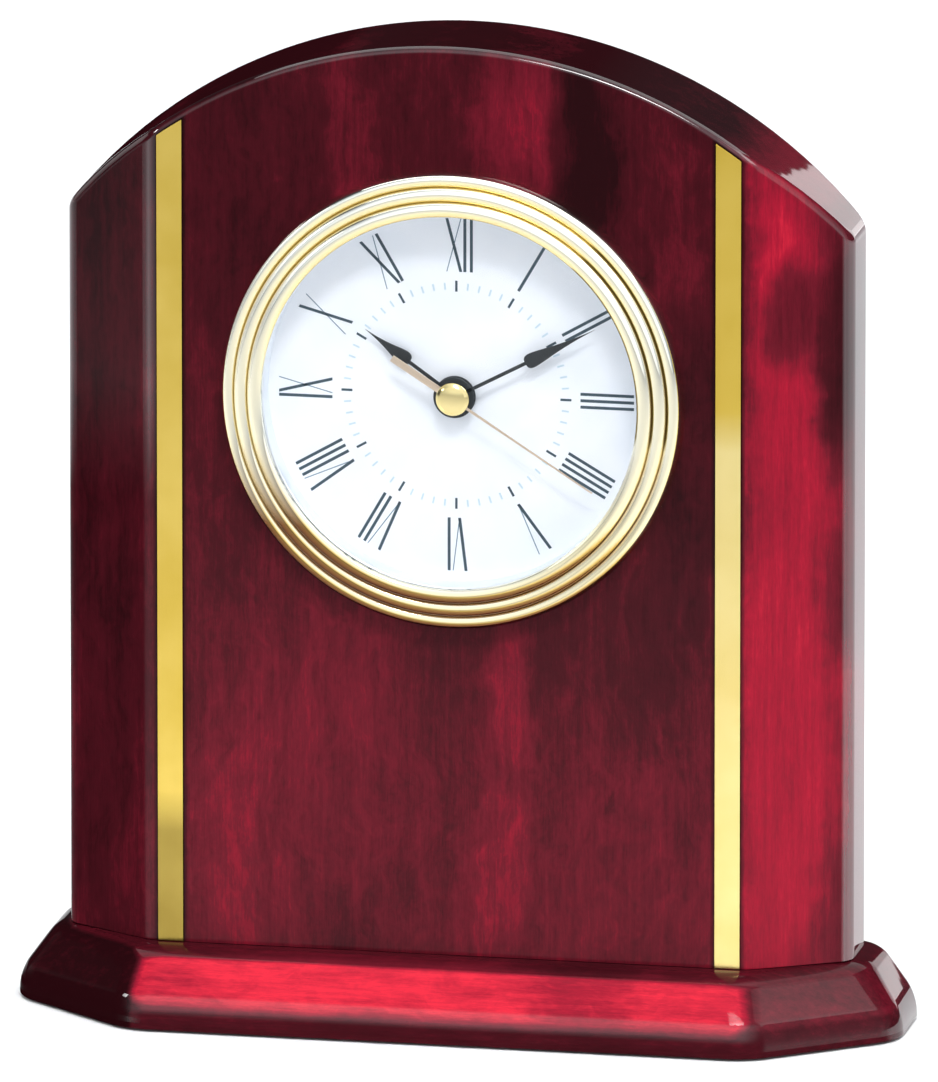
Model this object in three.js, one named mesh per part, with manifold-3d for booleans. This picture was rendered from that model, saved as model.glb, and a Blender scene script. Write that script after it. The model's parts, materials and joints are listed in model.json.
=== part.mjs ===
// Desk clock: arched rosewood case on a stepped base, with a round quartz insert
// Millimetres, +Z up, the dial faces -Y and the clock stands on Z = 0

import * as THREE from 'three';
import { mergeVertices } from 'three/addons/utils/BufferGeometryUtils.js';
import Module from 'manifold-3d';

const wasm = await Module();
wasm.setup();

// Case body
const BODY_WIDTH = 157.5;
const BODY_DEPTH = 26;
const BODY_HEIGHT = 183.1;
const ARCH_RADIUS = 101.8;
const FRONT_FLAT_WIDTH = 119.6;
const CANT_DEPTH = 11.1;
const FRONT_EDGE_RADIUS = 1.2;
const SIDE_EDGE_RADIUS = 2.4;

// Base
const BASE_WIDTH = 177.8;
const BASE_FRONT_REACH = 12.9;
const BASE_BACK_REACH = 4.7;
const BASE_FRONT_FLAT = 125;
const BASE_CANT_DEPTH = 21.2;
const BASE_HEIGHT = 15;
const BASE_EDGE_HEIGHT = 4.6;
const BASE_SLOPE_RUN = 7.6;
const BASE_EDGE_RADIUS = 0.9;

// Felt let into the underside of the base
const FELT_THICKNESS = 1.4;
const FELT_PROUD = 0.4;
const FELT_MARGIN = 5;
const GLUE_LINE = 0.1;

// Wood screws that hold the body on the base
const WOOD_SCREW_SPACING = 104;
const WOOD_SCREW_LENGTH = 28;
const WOOD_SCREW_RADIUS = 1.8;
const WOOD_SCREW_HEAD_RADIUS = 3.6;
const WOOD_SCREW_HEAD_HEIGHT = 2.4;
const WOOD_SCREW_TIP = 4;

// Brass strips let into the front
const STRIP_WIDTH = 5.1;
const STRIP_CENTRE = 55.85;
const STRIP_THICKNESS = 1;
const STRIP_PROUD = 0.2;
const STRIP_TOP_MARGIN = 1.4;
const STRIP_CLEARANCE = 0.12;

// Clock insert: bore in the wood, bezel, crystal, dial and cup
const DIAL_CENTRE_HEIGHT = 128.2;
const DIAL_CENTRE_OFFSET = 1;
const BORE_RADIUS = 40.6;
const BEZEL_RADIUS = 46.2;
const BEZEL_LIP_RADIUS = 37.5;
const BEZEL_HEIGHT = 5.6;
const BEZEL_LIP_THICKNESS = 1.1;
const BEZEL_RING_SHARES = [0.34, 0.32, 0.34];
const BEZEL_STEP = 0.8;
const BEZEL_GROOVE = 0.8;
const CRYSTAL_RADIUS = 38.6;
const CRYSTAL_THICKNESS = 1.5;
const SIGHT_RING_INNER = 37.6;
const DIAL_RADIUS = 38.1;
const DIAL_THICKNESS = 0.5;
const DIAL_DEPTH = 3;
const CUP_RADIUS = 39.4;
const CUP_BODY_INNER = 37;
const CUP_BACK_THICKNESS = 1.7;
const GASKET_RADIUS = 40.3;
const GASKET_SEAT_RADIUS = 38.6;
const GASKET_WIDTH = 4;
const GASKET_DEPTH = 9;

// Fits shared by every seat in the movement
const GAP = 0.3;
const AXIAL_GAP = 0.5;
const PIVOT_CLEARANCE = 0.15;

// Hands and the pipes that carry them
const HAND_THICKNESS = 0.3;
const HAND_SPACING = 1.25;
const HOUR_HAND_LIFT = 1.1;
const HAND_STEM_WIDTH = 0.7;
const HOUR_HAND_LENGTH = 22;
const HOUR_STEM_LENGTH = 11.2;
const HOUR_LEAF_WIDTH = 3.1;
const MINUTE_HAND_LENGTH = 32;
const MINUTE_STEM_LENGTH = 16.2;
const MINUTE_LEAF_WIDTH = 2.9;
const LEAF_SHOULDER = 1.4;
const LEAF_SWELL_SHARE = 0.15;
const LEAF_WAIST_SHARE = 0.38;
const LEAF_THIN_SHARE = 0.2;
const SECOND_HAND_LENGTH = 33;
const SECOND_NEEDLE_WIDTH = 0.6;
const SECOND_TIP_WIDTH = 0.3;
const SECOND_TAIL_LENGTH = 14.4;
const SECOND_TAIL_WIDTH = 1.35;
const HAND_HUB_RADIUS = 4.1;
const CAP_RADIUS = 3.3;
const CAP_HEIGHT = 0.9;
const SECOND_ARBOR_RADIUS = 0.45;
const MINUTE_TUBE_INNER = 0.7;
const MINUTE_TUBE_OUTER = 1.2;
const HOUR_PIPE_INNER = 1.45;
const HOUR_PIPE_OUTER = 2;
const POST_INNER = 2.3;
const POST_OUTER = 3;
const POST_PROUD = 0.5;

// Time shown at rest, as clock angles of the hands in degrees
const HOUR_ANGLE = 305.2;
const MINUTE_ANGLE = 62;
const SECOND_ANGLE = 122.4;

// Gear train: leaves and teeth of each pair, and where its axes stand round the centre
const ROTOR_LEAVES = 6;
const INTERMEDIATE_TEETH = 30;
const INTERMEDIATE_LEAVES = 6;
const SECOND_TEETH = 36;
const SECOND_LEAVES = 8;
const THIRD_TEETH = 60;
const THIRD_LEAVES = 8;
const CENTRE_TEETH = 64;
const CANNON_LEAVES = 12;
const MINUTE_TEETH = 36;
const MINUTE_LEAVES = 10;
const HOUR_TEETH = 40;
const THIRD_DISTANCE = 12.24;
const THIRD_BEARING = 290;
const MINUTE_DISTANCE = 13;
const MINUTE_BEARING = 65;
const INTERMEDIATE_DISTANCE = 12.18;
const INTERMEDIATE_BEARING = 0;
const ROTOR_DISTANCE = 7.2;
const WHEEL_THICKNESS = 0.9;
const PINION_OVERHANG = 0.2;
const ARBOR_RADIUS = 0.6;
const PIVOT_RADIUS = 0.35;
const PIVOT_LENGTH = 0.9;
const WHEEL_TOOTH = { addendum: 0.75, dedendum: 1.2, root: 0.5, tip: 0.14 };
const LEAF_TOOTH = { addendum: 0.6, dedendum: 1.15, root: 0.34, tip: 0.2 };

// Movement plates, pillars and screws
const PLATE_THICKNESS = 1.4;
const BACK_PLATE_RADIUS = 33;
const BACK_PLATE_FLAT = 12.4;
const PILLAR_RADIUS = 2;
const PILLARS = [[100, 27], [260, 27], [38, 29]];
const PLATE_SCREW_RADIUS = 0.8;
const PLATE_SCREW_LENGTH = 5;
const PLATE_SCREW_HEAD_RADIUS = 1.8;
const PLATE_SCREW_HEAD_HEIGHT = 1;

// Stepping motor and circuit
const MAGNET_RADIUS = 2.1;
const MAGNET_LENGTH = 2.2;
const STATOR_THICKNESS = 1.2;
const STATOR_RING_WIDTH = 1.8;
const STATOR_WIDTH = 23;
const STATOR_ARM_WIDTH = 4;
const COIL_LIFT = 9.1;
const CORE_WIDTH = 2.6;
const CORE_THICKNESS = 1.2;
const BOBBIN_LENGTH = 14;
const BOBBIN_RADIUS = 3;
const BOBBIN_BARREL = 1.9;
const BOBBIN_FLANGE = 0.7;
const WINDING_RADIUS = 2.8;
const BOARD_WIDTH = 12;
const BOARD_HEIGHT = 10;
const BOARD_THICKNESS = 1;
const BOARD_X = -18;
const BOARD_Z = 17;
const QUARTZ_RADIUS = 1;
const QUARTZ_LENGTH = 6;

// Battery, its bay in the cup, its contacts and its door
const BATTERY_LENGTH = 44.5;
const BATTERY_RADIUS = 5.25;
const BATTERY_NUB_RADIUS = 1.9;
const BATTERY_NUB_LENGTH = 1;
const BATTERY_DROP = 20;
const BAY_WALL = 0.8;
const CONTACT_SPACE = 1.5;
const CONTACT_THICKNESS = 0.4;
const CONTACT_WIDTH = 6;
const DOOR_LEDGE = 1.5;
const DOOR_THICKNESS = 0.9;
const DOOR_CLEARANCE = 0.25;
const DOOR_NOTCH_RADIUS = 3;

// Setting knob behind the cup
const KNOB_RADIUS = 5;
const KNOB_THICKNESS = 4;
const KNOB_RIDGES = 20;
const KNOB_RIDGE_DEPTH = 0.35;
const KNOB_FLOOR = 0.8;

// Facets round a turned piece
const WIDE_SIDES = 48;
const SMALL_SIDES = 16;
const FINE_SIDES = 8;
const STRIP_STEPS = 2;
const BEZEL_RING_STEPS = 4;
const LEAF_STEPS = 6;

// Places worked out from the sizes above
const baseTop = FELT_PROUD + BASE_HEIGHT;
const bodyBottom = baseTop + GLUE_LINE;
const baseDepth = BASE_FRONT_REACH + BODY_DEPTH + BASE_BACK_REACH;
const bodyFrontY = BASE_FRONT_REACH - baseDepth / 2;
const dialFront = DIAL_DEPTH;
const dialBack = dialFront + DIAL_THICKNESS;
const plateFront = dialBack + GAP;
const plateBack = plateFront + PLATE_THICKNESS;
const wheelPitch = WHEEL_THICKNESS + 2 * PINION_OVERHANG + GAP;
const firstPlane = plateBack + AXIAL_GAP + PINION_OVERHANG;
const planes = { hour: 0, minute: 1, centre: 2, third: 3, second: 4, intermediate: 5 };
const backPlateFront = firstPlane + 6 * wheelPitch + AXIAL_GAP;
const backPlateBack = backPlateFront + PLATE_THICKNESS;
const cupBackInner = backPlateBack + PLATE_SCREW_HEAD_HEIGHT + GAP;
const cupBackOuter = cupBackInner + CUP_BACK_THICKNESS;
const hourHandBack = dialFront - HOUR_HAND_LIFT;
const minuteHandBack = hourHandBack - HAND_SPACING;
const secondHandBack = minuteHandBack - HAND_SPACING;
const capFront = secondHandBack - HAND_THICKNESS - CAP_HEIGHT;
const crystalFront = BEZEL_LIP_THICKNESS + GAP - BEZEL_HEIGHT;
const crystalBack = crystalFront + CRYSTAL_THICKNESS;
const knobFront = cupBackOuter + AXIAL_GAP;
const knobBack = knobFront + KNOB_THICKNESS;

// Solid helpers: merge shared corners, drop slivers, join and cut
function tidy(geometry) {
  const bare = geometry.clone();
  bare.deleteAttribute('normal');
  bare.deleteAttribute('uv');
  const merged = mergeVertices(bare, 1e-4);
  const corners = merged.index.array;
  const kept = [];
  for (let i = 0; i < corners.length; i += 3) {
    const [a, b, c] = [corners[i], corners[i + 1], corners[i + 2]];
    if (a !== b && b !== c && c !== a) {
      kept.push(a, b, c);
    }
  }
  merged.setIndex(kept);
  return merged;
}

function toSolid(geometry) {
  const shape = tidy(geometry);
  return new wasm.Manifold(new wasm.Mesh({
    numProp: 3,
    vertProperties: new Float32Array(shape.attributes.position.array),
    triVerts: new Uint32Array(shape.index.array),
  }));
}

function toGeometry(solid) {
  const mesh = solid.getMesh();
  const geometry = new THREE.BufferGeometry();
  geometry.setAttribute('position', new THREE.BufferAttribute(new Float32Array(mesh.vertProperties), 3));
  geometry.setIndex(Array.from(mesh.triVerts));
  return geometry;
}

function join(first, ...others) {
  return toGeometry(others.reduce((solid, other) => solid.add(toSolid(other)), toSolid(first)));
}

function cut(first, ...tools) {
  return toGeometry(tools.reduce((solid, tool) => solid.subtract(toSolid(tool)), toSolid(first)));
}

function common(first, second) {
  return toGeometry(toSolid(first).intersect(toSolid(second)));
}

// Shape helpers: depth runs along +Y, from the front of the case to its back
function plate(shape, front, back, curveSegments = FINE_SIDES) {
  const settings = { depth: back - front, bevelEnabled: false, curveSegments };
  return new THREE.ExtrudeGeometry(shape, settings).rotateX(Math.PI / 2).translate(0, back, 0);
}

function turned(points, sides) {
  const profile = points.map(([radius, depth]) => new THREE.Vector2(radius, depth));
  if (THREE.ShapeUtils.isClockWise(profile)) {
    profile.reverse();
  }
  if (profile[0].x > 0) {
    profile.push(profile[0].clone());
  }
  return new THREE.LatheGeometry(profile, sides);
}

function rod(radius, front, back, sides = FINE_SIDES) {
  return turned([[0, front], [radius, front], [radius, back], [0, back]], sides);
}

function tube(inner, outer, front, back, sides = SMALL_SIDES) {
  return turned([[inner, front], [outer, front], [outer, back], [inner, back]], sides);
}

function block(x0, x1, y0, y1, z0, z1) {
  const box = new THREE.BoxGeometry(x1 - x0, y1 - y0, z1 - z0);
  return box.translate((x0 + x1) / 2, (y0 + y1) / 2, (z0 + z1) / 2);
}

function clockPoint(degrees, radius) {
  const angle = THREE.MathUtils.degToRad(degrees);
  return new THREE.Vector2(radius * Math.sin(angle), radius * Math.cos(angle));
}

function disc(radius, x = 0, z = 0) {
  return new THREE.Shape().absarc(x, z, radius, 0, 2 * Math.PI, false);
}

function rectangle(x0, x1, z0, z1) {
  const corners = [[x0, z0], [x1, z0], [x1, z1], [x0, z1]];
  return new THREE.Shape(corners.map(([x, z]) => new THREE.Vector2(x, z)));
}

// Outline with rounded corners: each corner is [x, y, radius]
function roundedOutline(corners) {
  const shape = new THREE.Shape();
  corners.forEach(([x, y, radius], i) => {
    const corner = new THREE.Vector2(x, y);
    const before = corners[(i + corners.length - 1) % corners.length];
    const after = corners[(i + 1) % corners.length];
    const inward = new THREE.Vector2(before[0] - x, before[1] - y).setLength(radius);
    const onward = new THREE.Vector2(after[0] - x, after[1] - y).setLength(radius);
    const start = corner.clone().add(inward);
    const end = corner.clone().add(onward);
    if (i === 0) {
      shape.moveTo(start.x, start.y);
    } else {
      shape.lineTo(start.x, start.y);
    }
    shape.quadraticCurveTo(x, y, end.x, end.y);
  });
  shape.closePath();
  return shape;
}

// Materials and the tree of groups
const clock = new THREE.Group();
const insert = new THREE.Group();
insert.position.set(DIAL_CENTRE_OFFSET, bodyFrontY, DIAL_CENTRE_HEIGHT);
clock.add(insert);

const finishes = {
  rosewood: { color: 0x5a0f1c, roughness: 0.12, metalness: 0 },
  brass: { color: 0xd9b24a, roughness: 0.22, metalness: 1 },
  gold: { color: 0xf0d27a, roughness: 0.12, metalness: 1 },
  glass: { color: 0xf4f8fa, roughness: 0.03, metalness: 0, transparent: true, opacity: 0.2 },
  dial: { color: 0xf3f5f8, roughness: 0.55, metalness: 0 },
  blackHand: { color: 0x1c2226, roughness: 0.4, metalness: 0 },
  paleGold: { color: 0xc9ad78, roughness: 0.3, metalness: 1 },
  felt: { color: 0x1f1a1a, roughness: 0.95, metalness: 0 },
  steel: { color: 0xb9bcc0, roughness: 0.35, metalness: 1 },
  blackPlastic: { color: 0x1a1b1d, roughness: 0.5, metalness: 0 },
  rubber: { color: 0x141414, roughness: 0.8, metalness: 0 },
  clearPlastic: { color: 0xdfe3df, roughness: 0.4, metalness: 0 },
  wheelPlastic: { color: 0xe9e6da, roughness: 0.45, metalness: 0 },
  board: { color: 0x2f5c3a, roughness: 0.55, metalness: 0 },
  copper: { color: 0xa8562c, roughness: 0.4, metalness: 1 },
  magnet: { color: 0x4a4d52, roughness: 0.45, metalness: 1 },
  cell: { color: 0x2c3e57, roughness: 0.35, metalness: 0 },
};

function addPiece(parent, name, finish, geometry) {
  const mesh = new THREE.Mesh(tidy(geometry), new THREE.MeshStandardMaterial(finishes[finish]));
  mesh.name = name;
  parent.add(mesh);
}

// Wood case: the plan gives the canted corners and the front view gives the arch
const bodyHalf = BODY_WIDTH / 2;
const archCentre = BODY_HEIGHT - ARCH_RADIUS;

function archOutline(halfWidth, bottom, radius) {
  const rise = archCentre + Math.sqrt(radius ** 2 - halfWidth ** 2);
  const sweep = Math.asin(halfWidth / radius);
  const shape = new THREE.Shape();
  shape.moveTo(-halfWidth, bottom);
  shape.lineTo(halfWidth, bottom);
  shape.lineTo(halfWidth, rise);
  shape.absarc(0, archCentre, radius, Math.PI / 2 - sweep, Math.PI / 2 + sweep, false);
  return shape;
}

function stripOutline(side, growth) {
  const inner = STRIP_CENTRE - STRIP_WIDTH / 2 - growth;
  const outer = STRIP_CENTRE + STRIP_WIDTH / 2 + growth;
  const radius = ARCH_RADIUS - STRIP_TOP_MARGIN + growth;
  const from = side > 0 ? Math.acos(outer / radius) : Math.PI - Math.acos(inner / radius);
  const to = side > 0 ? Math.acos(inner / radius) : Math.PI - Math.acos(outer / radius);
  const shape = new THREE.Shape();
  shape.moveTo(side > 0 ? inner : -outer, 0);
  shape.lineTo(side > 0 ? outer : -inner, 0);
  shape.absarc(0, archCentre, radius, from, to, false);
  return shape;
}

function bodySolid() {
  const flatHalf = FRONT_FLAT_WIDTH / 2;
  const plan = roundedOutline([
    [-flatHalf, 0, SIDE_EDGE_RADIUS],
    [flatHalf, 0, SIDE_EDGE_RADIUS],
    [bodyHalf, CANT_DEPTH, SIDE_EDGE_RADIUS],
    [bodyHalf, BODY_DEPTH, SIDE_EDGE_RADIUS],
    [-bodyHalf, BODY_DEPTH, SIDE_EDGE_RADIUS],
    [-bodyHalf, CANT_DEPTH, SIDE_EDGE_RADIUS],
  ]);
  const column = new THREE.ExtrudeGeometry(plan, { depth: BODY_HEIGHT, bevelEnabled: false, curveSegments: 4 });
  const margin = 2 * FRONT_EDGE_RADIUS;
  const arch = new THREE.ExtrudeGeometry(archOutline(bodyHalf + margin, -margin, ARCH_RADIUS), {
    depth: BODY_DEPTH - 2 * FRONT_EDGE_RADIUS,
    bevelThickness: FRONT_EDGE_RADIUS,
    bevelSize: FRONT_EDGE_RADIUS,
    bevelOffset: -FRONT_EDGE_RADIUS,
    bevelSegments: 2,
    curveSegments: 16,
  });
  arch.rotateX(Math.PI / 2).translate(0, BODY_DEPTH - FRONT_EDGE_RADIUS, 0);
  return common(column, arch);
}

function woodScrewPlaces() {
  const half = WOOD_SCREW_SPACING / 2;
  return { left: -half, right: half };
}

function woodScrew(growth) {
  const shank = WOOD_SCREW_RADIUS + growth;
  const head = WOOD_SCREW_HEAD_RADIUS + growth;
  const top = WOOD_SCREW_LENGTH + growth;
  const profile = [[0, 0], [head, 0], [shank, WOOD_SCREW_HEAD_HEIGHT], [shank, top - WOOD_SCREW_TIP], [0, top]];
  return turned(profile, FINE_SIDES).rotateX(Math.PI / 2);
}

// The felt is glued into a recess, and the screw heads lie flush with its roof
const recessRoof = FELT_THICKNESS + GLUE_LINE;
const screwY = bodyFrontY + BODY_DEPTH / 2;

function addWood() {
  const bore = rod(BORE_RADIUS, -1, BODY_DEPTH + 1, WIDE_SIDES);
  bore.translate(DIAL_CENTRE_OFFSET, 0, DIAL_CENTRE_HEIGHT - bodyBottom);
  const grooveFloor = STRIP_THICKNESS - STRIP_PROUD + STRIP_CLEARANCE;
  const tools = [bore];
  for (const side of [-1, 1]) {
    tools.push(plate(stripOutline(side, STRIP_CLEARANCE), -1, grooveFloor, STRIP_STEPS));
    tools.push(plate(rectangle(...stripSpan(side), -1, 1), -1, grooveFloor));
  }
  for (const x of Object.values(woodScrewPlaces())) {
    tools.push(woodScrew(GAP).translate(x, screwY - bodyFrontY, recessRoof - bodyBottom));
  }
  const body = cut(bodySolid(), ...tools).translate(0, bodyFrontY, bodyBottom);
  addPiece(clock, 'case_body', 'rosewood', body);

  for (const [name, side] of [['trim_strip_left', -1], ['trim_strip_right', 1]]) {
    const strip = plate(stripOutline(side, 0), -STRIP_PROUD, STRIP_THICKNESS - STRIP_PROUD, STRIP_STEPS);
    addPiece(clock, name, 'brass', strip.translate(0, bodyFrontY, bodyBottom));
  }
}

function stripSpan(side) {
  const half = STRIP_WIDTH / 2 + STRIP_CLEARANCE;
  return [side * STRIP_CENTRE - half, side * STRIP_CENTRE + half];
}

// Base: the same plan at several heights, drawn in at the front, the cants and the sides
function basePlan(inset) {
  const half = BASE_WIDTH / 2;
  const flatHalf = BASE_FRONT_FLAT / 2;
  const front = -baseDepth / 2;
  const cant = new THREE.Vector2(half - flatHalf, BASE_CANT_DEPTH);
  const length = cant.length();
  const frontShift = (inset * (length - cant.x)) / cant.y;
  const sideShift = (inset * (length - cant.y)) / cant.x;
  const back = baseDepth / 2;
  return [
    [-flatHalf + frontShift, front + inset],
    [flatHalf - frontShift, front + inset],
    [half - inset, front + BASE_CANT_DEPTH + sideShift],
    [half - inset, back],
    [-half + inset, back],
    [-half + inset, front + BASE_CANT_DEPTH + sideShift],
  ];
}

function feltPlan(margin) {
  const back = baseDepth / 2;
  return basePlan(margin).map(([x, y]) => [x, Math.min(y, back - margin)]);
}

function loft(levels) {
  const count = levels[0].outline.length;
  const points = levels.flatMap(({ outline, height }) => outline.map(([x, y]) => [x, y, height]));
  const faces = [];
  for (let level = 0; level + 1 < levels.length; level += 1) {
    for (let i = 0; i < count; i += 1) {
      const a = level * count + i;
      const b = level * count + ((i + 1) % count);
      faces.push(a, b, b + count, a, b + count, a + count);
    }
  }
  const top = (levels.length - 1) * count;
  for (let i = 1; i + 1 < count; i += 1) {
    faces.push(0, i + 1, i);
    faces.push(top, top + i, top + i + 1);
  }
  const geometry = new THREE.BufferGeometry();
  geometry.setAttribute('position', new THREE.BufferAttribute(new Float32Array(points.flat()), 3));
  geometry.setIndex(faces);
  return geometry;
}

function addBase() {
  const bottom = FELT_PROUD;
  const top = baseTop;
  const round = BASE_EDGE_RADIUS;
  const edgeTop = bottom + BASE_EDGE_HEIGHT;
  const levels = [
    [bottom, round],
    [bottom + round, 0],
    [edgeTop - round, 0],
    [edgeTop, round / 2],
    [top - round, BASE_SLOPE_RUN - round],
    [top - round / 3, BASE_SLOPE_RUN - round / 3],
    [top, BASE_SLOPE_RUN + round / 2],
  ].map(([height, inset]) => ({ height, outline: basePlan(inset) }));
  const felt = feltPlan(FELT_MARGIN);
  const recess = feltPlan(FELT_MARGIN - GAP);
  const tools = [loft([{ height: -1, outline: recess }, { height: recessRoof, outline: recess }])];
  for (const x of Object.values(woodScrewPlaces())) {
    tools.push(woodScrew(GAP).translate(x, screwY, recessRoof - GLUE_LINE));
  }
  addPiece(clock, 'base_plinth', 'rosewood', cut(loft(levels), ...tools));
  addPiece(clock, 'base_felt', 'felt', loft([{ height: 0, outline: felt }, { height: FELT_THICKNESS, outline: felt }]));
  for (const [side, x] of Object.entries(woodScrewPlaces())) {
    addPiece(clock, `base_screw_${side}`, 'steel', woodScrew(0).translate(x, screwY, recessRoof));
  }
}

// Bezel, crystal and sight ring
function bezelProfile() {
  const width = BEZEL_RADIUS - BEZEL_LIP_RADIUS;
  const seat = CRYSTAL_RADIUS + GAP;
  const points = [[seat, 0], [BEZEL_RADIUS, 0]];
  let outer = BEZEL_RADIUS;
  BEZEL_RING_SHARES.forEach((share, ring) => {
    const half = (share * width) / 2;
    const crest = (BEZEL_RING_SHARES.length - 1 - ring) * BEZEL_STEP - BEZEL_HEIGHT;
    const outerFall = ring === 0 ? -crest : BEZEL_STEP + BEZEL_GROOVE;
    for (let i = 0; i <= BEZEL_RING_STEPS; i += 1) {
      const angle = (Math.PI * (i + 0.5)) / (BEZEL_RING_STEPS + 1);
      const fall = angle < Math.PI / 2 ? outerFall : BEZEL_GROOVE;
      points.push([outer - half + half * Math.cos(angle), crest + fall * (1 - Math.sin(angle))]);
    }
    outer -= 2 * half;
  });
  const lipBack = BEZEL_LIP_THICKNESS - BEZEL_HEIGHT;
  points.push([BEZEL_LIP_RADIUS, lipBack], [seat, lipBack]);
  return points;
}

function addFront() {
  addPiece(insert, 'bezel', 'gold', turned(bezelProfile(), WIDE_SIDES));
  addPiece(insert, 'crystal', 'glass', rod(CRYSTAL_RADIUS, crystalFront, crystalBack, WIDE_SIDES));
  const ring = tube(SIGHT_RING_INNER, DIAL_RADIUS, crystalBack, dialFront, WIDE_SIDES);
  addPiece(insert, 'sight_ring', 'steel', ring);
  addPiece(insert, 'dial', 'dial', tube(POST_OUTER + GAP, DIAL_RADIUS, dialFront, dialBack, WIDE_SIDES));
}

// Cup with the battery bay, its door and the rubber ring
const batteryDepth = cupBackInner - AXIAL_GAP - BATTERY_RADIUS;
const bayHalfLength = BATTERY_LENGTH / 2 + CONTACT_SPACE;
const bayHalfHeight = BATTERY_RADIUS + GAP;
const bayFloor = batteryDepth - BATTERY_RADIUS - GAP;
const ledgeDepth = cupBackOuter - DOOR_THICKNESS;
const minuteAxis = clockPoint(MINUTE_BEARING, MINUTE_DISTANCE);

function bayBlock(growth, front, back) {
  const halfLength = bayHalfLength + growth;
  const halfHeight = bayHalfHeight + growth;
  return block(-halfLength, halfLength, front, back, -BATTERY_DROP - halfHeight, -BATTERY_DROP + halfHeight);
}

function addCup() {
  const groove = GASKET_DEPTH - GAP;
  const grooveBack = GASKET_DEPTH + GASKET_WIDTH + GAP;
  const seat = GASKET_SEAT_RADIUS - GAP;
  const dialSeat = DIAL_RADIUS + GAP;
  const shell = turned([
    [0, cupBackInner],
    [CUP_BODY_INNER, cupBackInner],
    [CUP_BODY_INNER, dialBack],
    [dialSeat, dialBack],
    [dialSeat, GAP],
    [CUP_RADIUS, GAP],
    [CUP_RADIUS, groove],
    [seat, groove],
    [seat, grooveBack],
    [CUP_RADIUS, grooveBack],
    [CUP_RADIUS, cupBackOuter],
    [0, cupBackOuter],
  ], WIDE_SIDES);
  const bay = bayBlock(BAY_WALL, bayFloor - BAY_WALL, cupBackInner + CUP_BACK_THICKNESS / 2);
  const knobHole = rod(ARBOR_RADIUS + GAP, cupBackInner - 1, cupBackOuter + 1);
  const cup = cut(
    join(shell, bay),
    bayBlock(0, bayFloor, cupBackOuter + 1),
    bayBlock(DOOR_LEDGE, ledgeDepth, cupBackOuter + 1),
    knobHole.translate(minuteAxis.x, 0, minuteAxis.y),
  );
  addPiece(insert, 'insert_cup', 'blackPlastic', cup);
  const gasketBack = GASKET_DEPTH + GASKET_WIDTH;
  const lip = GASKET_WIDTH / 4;
  addPiece(insert, 'insert_gasket', 'rubber', turned([
    [GASKET_SEAT_RADIUS, GASKET_DEPTH],
    [CUP_RADIUS, GASKET_DEPTH],
    [GASKET_RADIUS, GASKET_DEPTH + lip],
    [GASKET_RADIUS, gasketBack - lip],
    [CUP_RADIUS, gasketBack],
    [GASKET_SEAT_RADIUS, gasketBack],
  ], WIDE_SIDES));

  const lid = bayBlock(DOOR_LEDGE - DOOR_CLEARANCE, ledgeDepth, cupBackOuter);
  const plug = bayBlock(-DOOR_CLEARANCE, cupBackInner, ledgeDepth + DOOR_THICKNESS / 2);
  const notch = rod(DOOR_NOTCH_RADIUS, ledgeDepth + DOOR_THICKNESS / 2, cupBackOuter + 1, SMALL_SIDES);
  notch.translate(bayHalfLength + DOOR_LEDGE, 0, -BATTERY_DROP);
  addPiece(insert, 'battery_door', 'blackPlastic', cut(join(lid, plug), notch));
}

// Battery with its nub at +X, and the two contacts at the ends of the bay
function addBattery() {
  const half = BATTERY_LENGTH / 2;
  const shoulder = half - BATTERY_NUB_LENGTH;
  const cell = turned([
    [0, -half],
    [BATTERY_RADIUS, -half],
    [BATTERY_RADIUS, shoulder],
    [BATTERY_NUB_RADIUS, shoulder],
    [BATTERY_NUB_RADIUS, half],
    [0, half],
  ], SMALL_SIDES + 4);
  addPiece(insert, 'battery', 'cell', cell.rotateZ(-Math.PI / 2).translate(0, batteryDepth, -BATTERY_DROP));

  const wall = bayHalfLength - GAP / 3;
  const tip = half + GAP / 2;
  const reach = BATTERY_RADIUS - GAP;
  const flat = [[wall, -reach], [wall, reach], [wall - CONTACT_THICKNESS, reach], [wall - CONTACT_THICKNESS, -reach]];
  const leaf = [
    [wall, -reach],
    [wall, reach],
    [wall - CONTACT_THICKNESS, reach],
    [wall - CONTACT_THICKNESS, CONTACT_THICKNESS - reach],
    [tip + CONTACT_THICKNESS, 0],
    [wall - CONTACT_THICKNESS, reach / 2],
    [wall - 2 * CONTACT_THICKNESS, reach / 2],
    [tip, 0],
    [wall - 2 * CONTACT_THICKNESS, -reach],
  ];
  for (const [name, outline, side] of [['contact_positive', flat, 1], ['contact_negative', leaf, -1]]) {
    const shape = new THREE.Shape(outline.map(([x, y]) => new THREE.Vector2(side * x, y)));
    const strip = new THREE.ExtrudeGeometry(shape, { depth: CONTACT_WIDTH, bevelEnabled: false });
    strip.translate(0, batteryDepth, -BATTERY_DROP - CONTACT_WIDTH / 2);
    addPiece(insert, name, 'steel', strip);
  }
}

// Gear axes and the pairs that mesh
const centreAxis = new THREE.Vector2(0, 0);
const thirdAxis = clockPoint(THIRD_BEARING, THIRD_DISTANCE);
const intermediateAxis = clockPoint(INTERMEDIATE_BEARING, INTERMEDIATE_DISTANCE);
const rotorAxis = clockPoint(INTERMEDIATE_BEARING, INTERMEDIATE_DISTANCE + ROTOR_DISTANCE);

function bearing(from, to) {
  return Math.atan2(to.x - from.x, to.y - from.y);
}

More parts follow.
